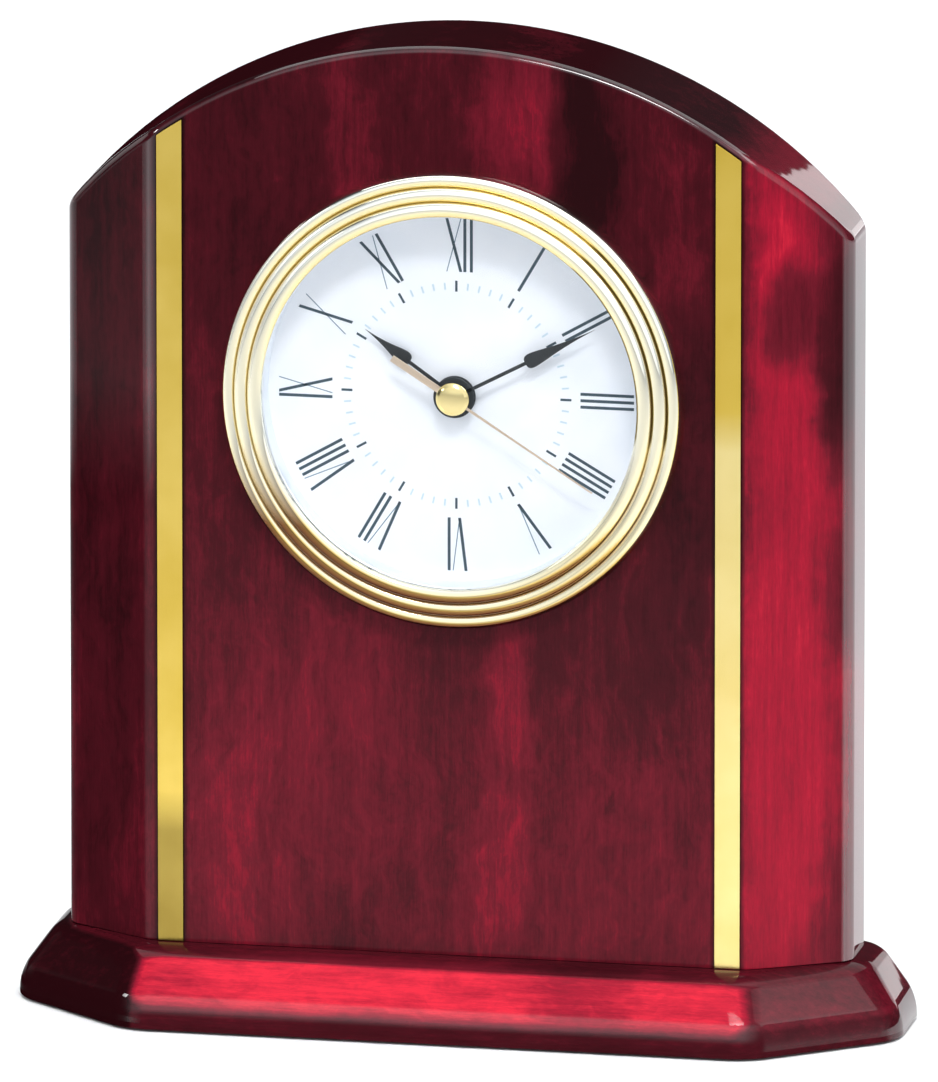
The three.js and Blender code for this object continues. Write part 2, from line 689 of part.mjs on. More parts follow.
function gearShape(teeth, module, tooth, phase) {
  const pitch = (2 * Math.PI) / teeth;
  const pitchRadius = (teeth * module) / 2;
  const root = pitchRadius - tooth.dedendum * module;
  const tip = pitchRadius + tooth.addendum * module;
  const corners = [[root, -tooth.root], [tip, -tooth.tip], [tip, tooth.tip], [root, tooth.root]];
  const points = [];
  for (let i = 0; i < teeth; i += 1) {
    for (const [radius, share] of corners) {
      const angle = phase + (i + share / 2) * pitch;
      points.push(new THREE.Vector2(radius * Math.sin(angle), radius * Math.cos(angle)));
    }
  }
  return new THREE.Shape(points);
}

// A pinion's leaf points at its wheel, where the wheel has a space between two teeth
function meshingPair(pinionAxis, wheelAxis, leaves, teeth) {
  const module = (2 * pinionAxis.distanceTo(wheelAxis)) / (leaves + teeth);
  const pinionPhase = bearing(pinionAxis, wheelAxis);
  const wheelPhase = bearing(wheelAxis, pinionAxis) + Math.PI / teeth;
  return {
    pinion: gearShape(leaves, module, LEAF_TOOTH, pinionPhase),
    wheel: gearShape(teeth, module, WHEEL_TOOTH, wheelPhase),
  };
}

function wheelPlate(shape, plane) {
  const front = firstPlane + planes[plane] * wheelPitch;
  return plate(shape, front, front + WHEEL_THICKNESS);
}

// A pinion stands a little proud of its wheel's faces and runs back to its own wheel
function pinionPlate(shape, plane, reach = 0) {
  const front = firstPlane + planes[plane] * wheelPitch - PINION_OVERHANG;
  return plate(shape, front, front + WHEEL_THICKNESS + 2 * PINION_OVERHANG + reach);
}

function arbor(radius, front, back) {
  return turned([
    [0, front - PIVOT_LENGTH],
    [PIVOT_RADIUS, front - PIVOT_LENGTH],
    [PIVOT_RADIUS, front],
    [radius, front],
    [radius, back],
    [PIVOT_RADIUS, back],
    [PIVOT_RADIUS, back + PIVOT_LENGTH],
    [0, back + PIVOT_LENGTH],
  ], FINE_SIDES);
}

const arborFront = plateBack + PIVOT_CLEARANCE;
const arborBack = backPlateFront - PIVOT_CLEARANCE;

function bodyGroup(axis) {
  const group = new THREE.Group();
  group.position.set(axis.x, 0, axis.y);
  insert.add(group);
  return group;
}

const pairs = {
  rotor: meshingPair(rotorAxis, intermediateAxis, ROTOR_LEAVES, INTERMEDIATE_TEETH),
  intermediate: meshingPair(intermediateAxis, centreAxis, INTERMEDIATE_LEAVES, SECOND_TEETH),
  second: meshingPair(centreAxis, thirdAxis, SECOND_LEAVES, THIRD_TEETH),
  third: meshingPair(thirdAxis, centreAxis, THIRD_LEAVES, CENTRE_TEETH),
  cannon: meshingPair(centreAxis, minuteAxis, CANNON_LEAVES, MINUTE_TEETH),
  minute: meshingPair(minuteAxis, centreAxis, MINUTE_LEAVES, HOUR_TEETH),
};

// Going train: rotor, intermediate wheel, second wheel, third wheel and centre wheel
function addGoingTrain() {
  const rotor = bodyGroup(rotorAxis);
  const spindle = arbor(ARBOR_RADIUS, arborFront, arborBack);
  addPiece(rotor, 'rotor_pinion', 'wheelPlastic', join(spindle, pinionPlate(pairs.rotor.pinion, 'intermediate')));
  const magnet = tube(ARBOR_RADIUS + PIVOT_CLEARANCE, MAGNET_RADIUS, magnetFront, magnetFront + MAGNET_LENGTH);
  addPiece(rotor, 'rotor_magnet', 'magnet', magnet);

  const step = bodyGroup(intermediateAxis);
  addPiece(step, 'intermediate_wheel', 'wheelPlastic', join(
    arbor(ARBOR_RADIUS, arborFront, arborBack),
    wheelPlate(pairs.rotor.wheel, 'intermediate'),
    pinionPlate(pairs.intermediate.pinion, 'second', GAP),
  ));

  const second = bodyGroup(centreAxis);
  const secondFront = secondHandBack - HAND_THICKNESS - CAP_HEIGHT / 2;
  addPiece(second, 'second_wheel', 'wheelPlastic', join(
    rod(SECOND_ARBOR_RADIUS, secondFront, backPlateFront + PIVOT_LENGTH),
    wheelPlate(pairs.intermediate.wheel, 'second'),
    pinionPlate(pairs.second.pinion, 'third', GAP),
  ));

  const third = bodyGroup(thirdAxis);
  addPiece(third, 'third_wheel', 'wheelPlastic', join(
    arbor(ARBOR_RADIUS, arborFront, arborBack),
    wheelPlate(pairs.second.wheel, 'third'),
    pinionPlate(pairs.third.pinion, 'centre', GAP),
  ));

  const centre = bodyGroup(centreAxis);
  const friction = rod(MINUTE_TUBE_OUTER + PIVOT_CLEARANCE, 0, backPlateFront, SMALL_SIDES);
  addPiece(centre, 'centre_wheel', 'wheelPlastic', cut(wheelPlate(pairs.third.wheel, 'centre'), friction));
}

// Motion work: cannon pinion, minute wheel with the setting knob, and hour wheel
function addMotionWork() {
  const centre = bodyGroup(centreAxis);
  const tubeFront = minuteHandBack - HAND_THICKNESS;
  const tubeBack = firstPlane + planes.centre * wheelPitch + WHEEL_THICKNESS + PINION_OVERHANG;
  const hollow = rod(MINUTE_TUBE_INNER, tubeFront - 1, tubeBack + 1, FINE_SIDES);
  const cannon = cut(
    join(rod(MINUTE_TUBE_OUTER, tubeFront, tubeBack, SMALL_SIDES), pinionPlate(pairs.cannon.pinion, 'minute')),
    hollow,
  );
  addPiece(centre, 'cannon_pinion', 'brass', cannon);

  const setting = bodyGroup(minuteAxis);
  const stem = turned([
    [0, arborFront - PIVOT_LENGTH],
    [PIVOT_RADIUS, arborFront - PIVOT_LENGTH],
    [PIVOT_RADIUS, arborFront],
    [ARBOR_RADIUS, arborFront],
    [ARBOR_RADIUS, knobBack - KNOB_FLOOR - GAP],
    [0, knobBack - KNOB_FLOOR - GAP],
  ], FINE_SIDES);
  addPiece(setting, 'minute_wheel', 'wheelPlastic', join(
    stem,
    wheelPlate(pairs.cannon.wheel, 'minute'),
    pinionPlate(pairs.minute.pinion, 'hour', GAP),
  ));
  const ridges = [];
  for (let i = 0; i < 2 * KNOB_RIDGES; i += 1) {
    const radius = KNOB_RADIUS - (i % 2) * KNOB_RIDGE_DEPTH;
    ridges.push(clockPoint((i * 180) / KNOB_RIDGES, radius));
  }
  const knob = plate(new THREE.Shape(ridges), knobFront, knobBack);
  const socket = rod(ARBOR_RADIUS + PIVOT_CLEARANCE, knobFront - 1, knobBack - KNOB_FLOOR);
  addPiece(setting, 'set_knob', 'blackPlastic', cut(knob, socket));

  const hour = bodyGroup(centreAxis);
  const pipeFront = hourHandBack - HAND_THICKNESS;
  const pipe = rod(HOUR_PIPE_OUTER, pipeFront, firstPlane + WHEEL_THICKNESS, SMALL_SIDES);
  const opening = rod(HOUR_PIPE_INNER, pipeFront - 1, firstPlane + WHEEL_THICKNESS + 1, SMALL_SIDES);
  addPiece(hour, 'hour_wheel', 'wheelPlastic', cut(join(pipe, wheelPlate(pairs.minute.wheel, 'hour')), opening));
}

// Leaf hand: hub, thin stem and a long teardrop that is widest near the stem
function leafHand(length, stemLength, leafWidth, bore, back) {
  const stemHalf = HAND_STEM_WIDTH / 2;
  const leafHalf = leafWidth / 2;
  const widest = stemLength + LEAF_SHOULDER;
  const swell = THREE.MathUtils.lerp(widest, length, LEAF_SWELL_SHARE);
  const waist = THREE.MathUtils.lerp(widest, length, LEAF_WAIST_SHARE);
  const thin = leafHalf * LEAF_THIN_SHARE;
  const outline = new THREE.Shape();
  outline.moveTo(-stemHalf, 0);
  outline.lineTo(-stemHalf, stemLength);
  outline.quadraticCurveTo(-leafHalf, stemLength, -leafHalf, widest);
  outline.bezierCurveTo(-leafHalf, swell, -thin, waist, 0, length);
  outline.bezierCurveTo(thin, waist, leafHalf, swell, leafHalf, widest);
  outline.quadraticCurveTo(leafHalf, stemLength, stemHalf, stemLength);
  outline.lineTo(stemHalf, 0);
  const front = back - HAND_THICKNESS;
  const hub = plate(disc(HAND_HUB_RADIUS), front, back);
  const hand = join(hub, plate(outline, front, back, LEAF_STEPS));
  return cut(hand, rod(bore, front - 1, back + 1, SMALL_SIDES));
}

function turnedTo(geometry, degrees) {
  return geometry.rotateY(THREE.MathUtils.degToRad(degrees));
}

function addHands() {
  const hourBore = HOUR_PIPE_OUTER + PIVOT_CLEARANCE;
  const hour = leafHand(HOUR_HAND_LENGTH, HOUR_STEM_LENGTH, HOUR_LEAF_WIDTH, hourBore, hourHandBack);
  addPiece(bodyGroup(centreAxis), 'hour_hand', 'blackHand', turnedTo(hour, HOUR_ANGLE));

  const minuteBore = MINUTE_TUBE_OUTER + PIVOT_CLEARANCE;
  const minute = leafHand(
    MINUTE_HAND_LENGTH, MINUTE_STEM_LENGTH, MINUTE_LEAF_WIDTH, minuteBore, minuteHandBack,
  );
  addPiece(bodyGroup(centreAxis), 'minute_hand', 'blackHand', turnedTo(minute, MINUTE_ANGLE));

  const front = secondHandBack - HAND_THICKNESS;
  const tailHalf = SECOND_TAIL_WIDTH / 2;
  const tail = rectangle(-tailHalf, tailHalf, -SECOND_TAIL_LENGTH, 0);
  const needle = new THREE.Shape([
    new THREE.Vector2(-SECOND_NEEDLE_WIDTH / 2, 0),
    new THREE.Vector2(SECOND_NEEDLE_WIDTH / 2, 0),
    new THREE.Vector2(SECOND_TIP_WIDTH / 2, SECOND_HAND_LENGTH),
    new THREE.Vector2(-SECOND_TIP_WIDTH / 2, SECOND_HAND_LENGTH),
  ]);
  const [hub, pointer, weight] = [disc(CAP_RADIUS / 2), needle, tail].map(
    (shape) => plate(shape, front, secondHandBack),
  );
  const sweep = cut(
    join(hub, pointer, weight),
    rod(SECOND_ARBOR_RADIUS + PIVOT_CLEARANCE, front - 1, secondHandBack + 1),
  );
  addPiece(bodyGroup(centreAxis), 'second_hand', 'paleGold', turnedTo(sweep, SECOND_ANGLE));
  const cap = turned([
    [0, capFront],
    [CAP_RADIUS * 0.7, capFront],
    [CAP_RADIUS, capFront + CAP_HEIGHT / 3],
    [CAP_RADIUS, front],
    [SECOND_ARBOR_RADIUS + PIVOT_CLEARANCE, front],
    [SECOND_ARBOR_RADIUS + PIVOT_CLEARANCE, front - CAP_HEIGHT / 2 - PIVOT_CLEARANCE],
    [0, front - CAP_HEIGHT / 2 - PIVOT_CLEARANCE],
  ], SMALL_SIDES);
  addPiece(bodyGroup(centreAxis), 'hand_cap', 'gold', cap);
}

// Plates: the front one carries the centre post and three pillars, the back one is screwed to them
const pillarPlaces = PILLARS.map(([degrees, radius]) => clockPoint(degrees, radius));
const pivotHole = PIVOT_RADIUS + PIVOT_CLEARANCE;

function holesAt(axes, radius, front, back) {
  return axes.map((axis) => rod(radius, front - 1, back + 1).translate(axis.x, 0, axis.y));
}

function addPlates() {
  const frontPlate = plate(disc(CUP_BODY_INNER - GAP), plateFront, plateBack, WIDE_SIDES / 2);
  const post = rod(POST_OUTER, dialFront - POST_PROUD, plateBack, SMALL_SIDES);
  const pillars = pillarPlaces.map((place) => (
    rod(PILLAR_RADIUS, plateFront + PLATE_THICKNESS / 2, backPlateFront, FINE_SIDES).translate(place.x, 0, place.y)
  ));
  const screwDepth = backPlateBack - PLATE_SCREW_LENGTH - GAP;
  const taps = pillarPlaces.map((place) => (
    rod(PLATE_SCREW_RADIUS + GAP, screwDepth, backPlateBack + 1).translate(place.x, 0, place.y)
  ));
  const arbors = [thirdAxis, intermediateAxis, rotorAxis, minuteAxis];
  addPiece(insert, 'front_plate', 'clearPlastic', cut(
    join(frontPlate, post, ...pillars),
    rod(POST_INNER, dialFront - POST_PROUD - 1, plateBack + 1, SMALL_SIDES),
    ...holesAt(arbors, pivotHole, plateFront, plateBack),
    ...taps,
  ));

  const reach = Math.sqrt(BACK_PLATE_RADIUS ** 2 - BACK_PLATE_FLAT ** 2);
  const slope = Math.asin(BACK_PLATE_FLAT / BACK_PLATE_RADIUS);
  const outline = new THREE.Shape();
  outline.moveTo(-reach, -BACK_PLATE_FLAT);
  outline.lineTo(reach, -BACK_PLATE_FLAT);
  outline.absarc(0, 0, BACK_PLATE_RADIUS, -slope, Math.PI + slope, false);
  const secondHole = SECOND_ARBOR_RADIUS + PIVOT_CLEARANCE;
  addPiece(insert, 'back_plate', 'clearPlastic', cut(
    plate(outline, backPlateFront, backPlateBack, WIDE_SIDES / 2),
    ...holesAt([thirdAxis, intermediateAxis, rotorAxis], pivotHole, backPlateFront, backPlateBack),
    ...holesAt([centreAxis], secondHole, backPlateFront, backPlateBack),
    ...holesAt([minuteAxis], ARBOR_RADIUS + PIVOT_CLEARANCE, backPlateFront, backPlateBack),
    ...holesAt(pillarPlaces, PLATE_SCREW_RADIUS + GAP, backPlateFront, backPlateBack),
  ));

  pillarPlaces.forEach((place, i) => {
    const screw = turned([
      [0, backPlateBack - PLATE_SCREW_LENGTH],
      [PLATE_SCREW_RADIUS, backPlateBack - PLATE_SCREW_LENGTH],
      [PLATE_SCREW_RADIUS, backPlateBack],
      [PLATE_SCREW_HEAD_RADIUS, backPlateBack],
      [PLATE_SCREW_HEAD_RADIUS, backPlateBack + PLATE_SCREW_HEAD_HEIGHT],
      [0, backPlateBack + PLATE_SCREW_HEAD_HEIGHT],
    ], FINE_SIDES);
    addPiece(insert, `plate_screw_${i + 1}`, 'steel', screw.translate(place.x, 0, place.y));
  });
}

// Stepping motor: the stator's ring goes round the magnet and its arms reach up to the coil's core
const magnetFront = firstPlane + planes.centre * wheelPitch;
const statorFront = magnetFront + (MAGNET_LENGTH - STATOR_THICKNESS) / 2;
const statorBack = statorFront + STATOR_THICKNESS;
const coilZ = rotorAxis.y + COIL_LIFT;
const coreFront = statorBack + GAP;
const coilDepth = coreFront + CORE_THICKNESS / 2;

function addMotor() {
  const hole = MAGNET_RADIUS + AXIAL_GAP;
  const ring = hole + STATOR_RING_WIDTH;
  const half = STATOR_WIDTH / 2;
  const barBottom = rotorAxis.y - MAGNET_RADIUS + GAP;
  const barTop = rotorAxis.y + ring;
  const armTop = coilZ + CORE_WIDTH / 2;
  const bar = plate(rectangle(-half, half, barBottom, barTop), statorFront, statorBack);
  const eye = plate(disc(ring, rotorAxis.x, rotorAxis.y), statorFront, statorBack);
  const arms = [-1, 1].map((side) => {
    const inner = half - STATOR_ARM_WIDTH;
    const [x0, x1] = side > 0 ? [inner, half] : [-half, -inner];
    return plate(rectangle(x0, x1, barBottom, armTop), statorFront, statorBack);
  });
  const bore = rod(hole, statorFront - 1, statorBack + 1, SMALL_SIDES).translate(rotorAxis.x, 0, rotorAxis.y);
  addPiece(insert, 'stator', 'steel', cut(join(bar, eye, ...arms), bore));

  const coreHalf = CORE_WIDTH / 2;
  const core = block(-half, half, coreFront, coreFront + CORE_THICKNESS, coilZ - coreHalf, coilZ + coreHalf);
  addPiece(insert, 'coil_core', 'steel', core);

  const end = BOBBIN_LENGTH / 2;
  const inner = end - BOBBIN_FLANGE;
  const spool = turned([
    [0, -end],
    [BOBBIN_RADIUS, -end],
    [BOBBIN_RADIUS, -inner],
    [BOBBIN_BARREL, -inner],
    [BOBBIN_BARREL, inner],
    [BOBBIN_RADIUS, inner],
    [BOBBIN_RADIUS, end],
    [0, end],
  ], SMALL_SIDES).rotateZ(Math.PI / 2).translate(0, coilDepth, coilZ);
  const slot = PIVOT_CLEARANCE;
  const channel = block(
    -end - 1, end + 1,
    coreFront - slot, coreFront + CORE_THICKNESS + slot,
    coilZ - coreHalf - slot, coilZ + coreHalf + slot,
  );
  addPiece(insert, 'coil_bobbin', 'blackPlastic', cut(spool, channel));
  const windingEnd = inner - PIVOT_CLEARANCE;
  const winding = tube(BOBBIN_BARREL + PIVOT_CLEARANCE, WINDING_RADIUS, -windingEnd, windingEnd);
  addPiece(insert, 'coil_winding', 'copper', winding.rotateZ(Math.PI / 2).translate(0, coilDepth, coilZ));
}

// Circuit board on the back plate, with the quartz can on its front
function addCircuit() {
  const boardBack = backPlateFront - GAP;
  const boardFront = boardBack - BOARD_THICKNESS;
  const halfWidth = BOARD_WIDTH / 2;
  const halfHeight = BOARD_HEIGHT / 2;
  const board = block(
    BOARD_X - halfWidth, BOARD_X + halfWidth, boardFront, boardBack, BOARD_Z - halfHeight, BOARD_Z + halfHeight,
  );
  addPiece(insert, 'circuit_board', 'board', board);
  const half = QUARTZ_LENGTH / 2;
  const can = rod(QUARTZ_RADIUS, -half, half, FINE_SIDES).rotateZ(Math.PI / 2);
  can.translate(BOARD_X, boardFront - QUARTZ_RADIUS - GAP, BOARD_Z + halfHeight - 2 * QUARTZ_RADIUS);
  addPiece(insert, 'quartz_can', 'steel', can);
}

addWood();
addBase();
addFront();
addCup();
addBattery();
addPlates();
addGoingTrain();
addMotionWork();
addHands();
addMotor();
addCircuit();

export default clock;
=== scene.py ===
import json
import math

import bmesh
import bpy
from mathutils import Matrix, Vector


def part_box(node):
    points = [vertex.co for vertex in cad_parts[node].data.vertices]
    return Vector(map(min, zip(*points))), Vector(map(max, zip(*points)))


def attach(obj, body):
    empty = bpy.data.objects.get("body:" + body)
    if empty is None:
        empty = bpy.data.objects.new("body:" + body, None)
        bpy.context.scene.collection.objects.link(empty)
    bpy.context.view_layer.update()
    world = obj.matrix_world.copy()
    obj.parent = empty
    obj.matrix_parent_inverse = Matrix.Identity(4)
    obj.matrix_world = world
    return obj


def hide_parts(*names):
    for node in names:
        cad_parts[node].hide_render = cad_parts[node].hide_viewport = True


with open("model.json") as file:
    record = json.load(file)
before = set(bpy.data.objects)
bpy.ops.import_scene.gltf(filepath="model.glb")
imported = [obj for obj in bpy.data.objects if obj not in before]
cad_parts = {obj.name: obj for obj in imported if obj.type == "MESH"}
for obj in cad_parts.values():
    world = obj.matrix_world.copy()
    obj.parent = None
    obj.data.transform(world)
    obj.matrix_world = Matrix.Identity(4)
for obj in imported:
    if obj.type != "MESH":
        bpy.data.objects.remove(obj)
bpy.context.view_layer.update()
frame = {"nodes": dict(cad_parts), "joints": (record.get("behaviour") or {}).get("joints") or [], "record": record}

# Units and places taken from the frame
MM = 0.001
PER_METRE = 1000.0
CENTRE = next(Vector(j["pos_m"]) for j in frame["joints"] if j["name"] == "second_hand_turn")
BODY_LOW, BODY_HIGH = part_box("case_body")
BASE_LOW, BASE_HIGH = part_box("base_plinth")
FELT_LOW, FELT_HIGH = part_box("base_felt")
BODY_FRONT = BODY_LOW.y
BODY_BACK = BODY_HIGH.y

# Case body, in millimetres
FRONT_FLAT_HALF = 59.8
CANT_DEPTH = 11.1
ARCH_RADIUS = 101.8
FLAT_CORNER_ROUND = 1.9
SIDE_CORNER_ROUND = 2.4
EDGE_ROUND = 1.5
BORE_RADIUS = 40.6
BORE_FRONT, BORE_BACK = -5.0, 40.0
GROOVE_REACH = 4.0

# Mesh of the case. A cant's columns stand wider apart than the side corners' rounding.
FLAT_COLUMNS = 44
CANT_COLUMNS = 6
FLAT_CORNER_STEPS = 5
SIDE_CORNER_STEPS = 6
EDGE_STEPS = 5
BORE_STEPS = 128
RIM_DEGREES = 38.0
LEVEL_DEGREES = 0.05

# Base and felt, in millimetres
BASE_FRONT_FLAT_HALF = 62.5
BASE_CANT_DEPTH = 21.2
BASE_EDGE_HEIGHT = 4.6
BASE_SLOPE_RUN = 7.6
BASE_CORNER_ROUND = 4.2
BASE_CREASE_ROUND = 3.2
BASE_FOOT_ROUND = 0.5
BASE_ROUND_STEPS = 6
BASE_FOOT_STEPS = 3
CREASE_DEGREES = 20.0
CREASE_RISE = 0.5
CREASE_GLEAM = 0.5
FELT_MARGIN = 5.0
FELT_EDGE_ROUND = 0.3
FELT_EDGE_STEPS = 3

# Brass strips, in millimetres
STRIP_TOP_MARGIN = 1.4
STRIP_TOP_STEPS = 10
STRIP_CLEARANCE = 0.12
STRIP_EDGE_ROUND = 0.12
STRIP_BRUSHING = (900.0, 900.0, 40.0)
# Heights in millimetres below which the brass takes a painted reflection: painted shade on the left strip, a
# painted pale gleam on the right
SHADE_BELOW = 42.0
PAINTED_GLEAM_BELOW = 124.0

# Camera fitted to the photograph's edges
CAMERA_AZIMUTH = 11.38
CAMERA_ELEVATION = 13.81
CAMERA_TARGET = Vector((4.0, -8.25, 99.4)) * MM
CAMERA_LENS = 1000.0
CAMERA_REACH = 50.0
SENSOR = 36.0
VIEW_HEIGHT = 212.3 * MM

# Meshes in general. NEAR is in metres.
ROUND_STEPS = 160
SHARP_DEGREES = 32.0
ROUND_PROFILE = 0.5
NORMAL_WEIGHT = 100
NEAR = 1e-6
ROUNDED = "rounded"


# Mesh helpers
def finish_mesh(bm, name, sharp_degrees=SHARP_DEGREES):
    """Turns a bmesh into a smooth mesh with its creases sharp."""
    bmesh.ops.recalc_face_normals(bm, faces=bm.faces)
    mesh = bpy.data.meshes.new(name)
    bm.to_mesh(mesh)
    bm.free()
    for face in mesh.polygons:
        face.use_smooth = True
    mesh.set_sharp_from_angle(angle=math.radians(sharp_degrees))
    return mesh


def add_object(name, data):
    thing = bpy.data.objects.new(name, data)
    bpy.context.scene.collection.objects.link(thing)
    return thing


def add_piece(name, bm, material, body, slot, *nodes, sharp_degrees=SHARP_DEGREES):
    """Adds a named piece that rides a body and takes the place of CAD nodes."""
    mesh = finish_mesh(bm, name, sharp_degrees)
    mesh.materials.append(material)
    piece = add_object(name, mesh)
    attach(piece, body)
    if nodes:
        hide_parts(*nodes)
    return piece


def weighted_normals(piece):
    modifier = piece.modifiers.new("weighted_normals", "WEIGHTED_NORMAL")
    modifier.keep_sharp = True
    modifier.weight = NORMAL_WEIGHT


def soften(bm, edges, radius_mm, segments):
    """Rounds edges and returns the faces that this makes."""
    made = bmesh.ops.bevel(
        bm, geom=edges, offset=radius_mm * MM, segments=segments, profile=ROUND_PROFILE, affect="EDGES",
    )
    return made["faces"]


def round_edges(bm, edges, radius_mm, segments, gleam=1.0):
    """Rounds edges and marks the new faces with how far the lacquer gleams along them."""
    mark = bm.faces.layers.float[ROUNDED]
    for face in soften(bm, edges, radius_mm, segments):
        face[mark] = gleam


def extrude(bm, faces, offset):
    """Gives flat faces a thickness."""
    result = bmesh.ops.extrude_face_region(bm, geom=faces)
    moved = [v for v in result["geom"] if isinstance(v, bmesh.types.BMVert)]
    bmesh.ops.translate(bm, verts=moved, vec=offset)


def join_bmesh(target, source):
    mesh = bpy.data.meshes.new("part")
    source.to_mesh(mesh)
    source.free()
    target.from_mesh(mesh)
    bpy.data.meshes.remove(mesh)
    return target


def lathe(profile, steps=ROUND_STEPS, centre=CENTRE):
    """Turns (radius, depth) points in millimetres about the line along +Y through centre."""
    bm = bmesh.new()
    rings = []
    for radius, depth in profile:
        if radius == 0:
            rings.append([bm.verts.new(centre + Vector((0, depth * MM, 0)))])
            continue
        ring = []
        for i in range(steps):
            angle = 2 * math.pi * i / steps
            offset = Vector((radius * math.sin(angle), depth, radius * math.cos(angle)))
            ring.append(bm.verts.new(centre + offset * MM))
        rings.append(ring)
    closed = profile[0][0] > 0
    spans = len(rings) if closed else len(rings) - 1
    for k in range(spans):
        near, far = rings[k], rings[(k + 1) % len(rings)]
        for i in range(steps):
            j = (i + 1) % steps
            corners = [near[i % len(near)], near[j % len(near)], far[j % len(far)], far[i % len(far)]]
            bm.faces.new(list(dict.fromkeys(corners)))
    return bm


def prism(outline, front, back, edge_round_mm=0.0, steps=2):
    """Extrudes an (x, z) outline in metres from one depth to another, with its front edges softened."""
    bm = bmesh.new()
    face = bm.faces.new([bm.verts.new((x, front, z)) for x, z in outline])
    extrude(bm, [face], (0, back - front, 0))
    if edge_round_mm > 0:
        rims = [e for e in bm.edges if all(abs(v.co.y - front) < NEAR for v in e.verts)]
        soften(bm, rims, edge_round_mm, steps)
    return bm


def boolean_cut(piece, tools):
    """Cuts tool meshes out of a piece, and leaves the result as the piece's own mesh."""
    made = []
    for tool in tools:
        cutter = add_object("cutter", tool)
        modifier = piece.modifiers.new("cut", "BOOLEAN")
        modifier.operation = "DIFFERENCE"
        modifier.solver = "EXACT"
        modifier.object = cutter
        made.append(cutter)
    bpy.context.view_layer.update()
    evaluated = piece.evaluated_get(bpy.context.evaluated_depsgraph_get())
    result = bpy.data.meshes.new_from_object(evaluated)
    piece.modifiers.clear()
    piece.data = result
    result.set_sharp_from_angle(angle=math.radians(SHARP_DEGREES))
    for cutter in made:
        bpy.data.objects.remove(cutter)


def depths(node):
    """Front and back of a CAD node in millimetres from the hands' centre."""
    low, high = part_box(node)
    return (low.y - CENTRE.y) / MM, (high.y - CENTRE.y) / MM


def polar(degrees, radius):
    """Point on the dial at a clock angle, as (x, z) offsets from its centre in millimetres."""
    angle = math.radians(degrees)
    return radius * math.sin(angle), radius * math.cos(angle)


# Materials in general: where a noise counts as low or high, and how soft a cloud's edge is
NOISE_LOW, NOISE_HIGH = 0.3, 0.7
WANDER_DETAIL = 3.0
CLOUD_CORE = 0.7


# Material helpers
def set_stops(elements, stops):
    """Puts (place, colour) stops on a colour ramp."""
    while len(elements) < len(stops):
        elements.new(0.5)
    for element, (position, colour) in zip(elements, stops):
        element.position = position
        element.color = (*colour, 1.0)


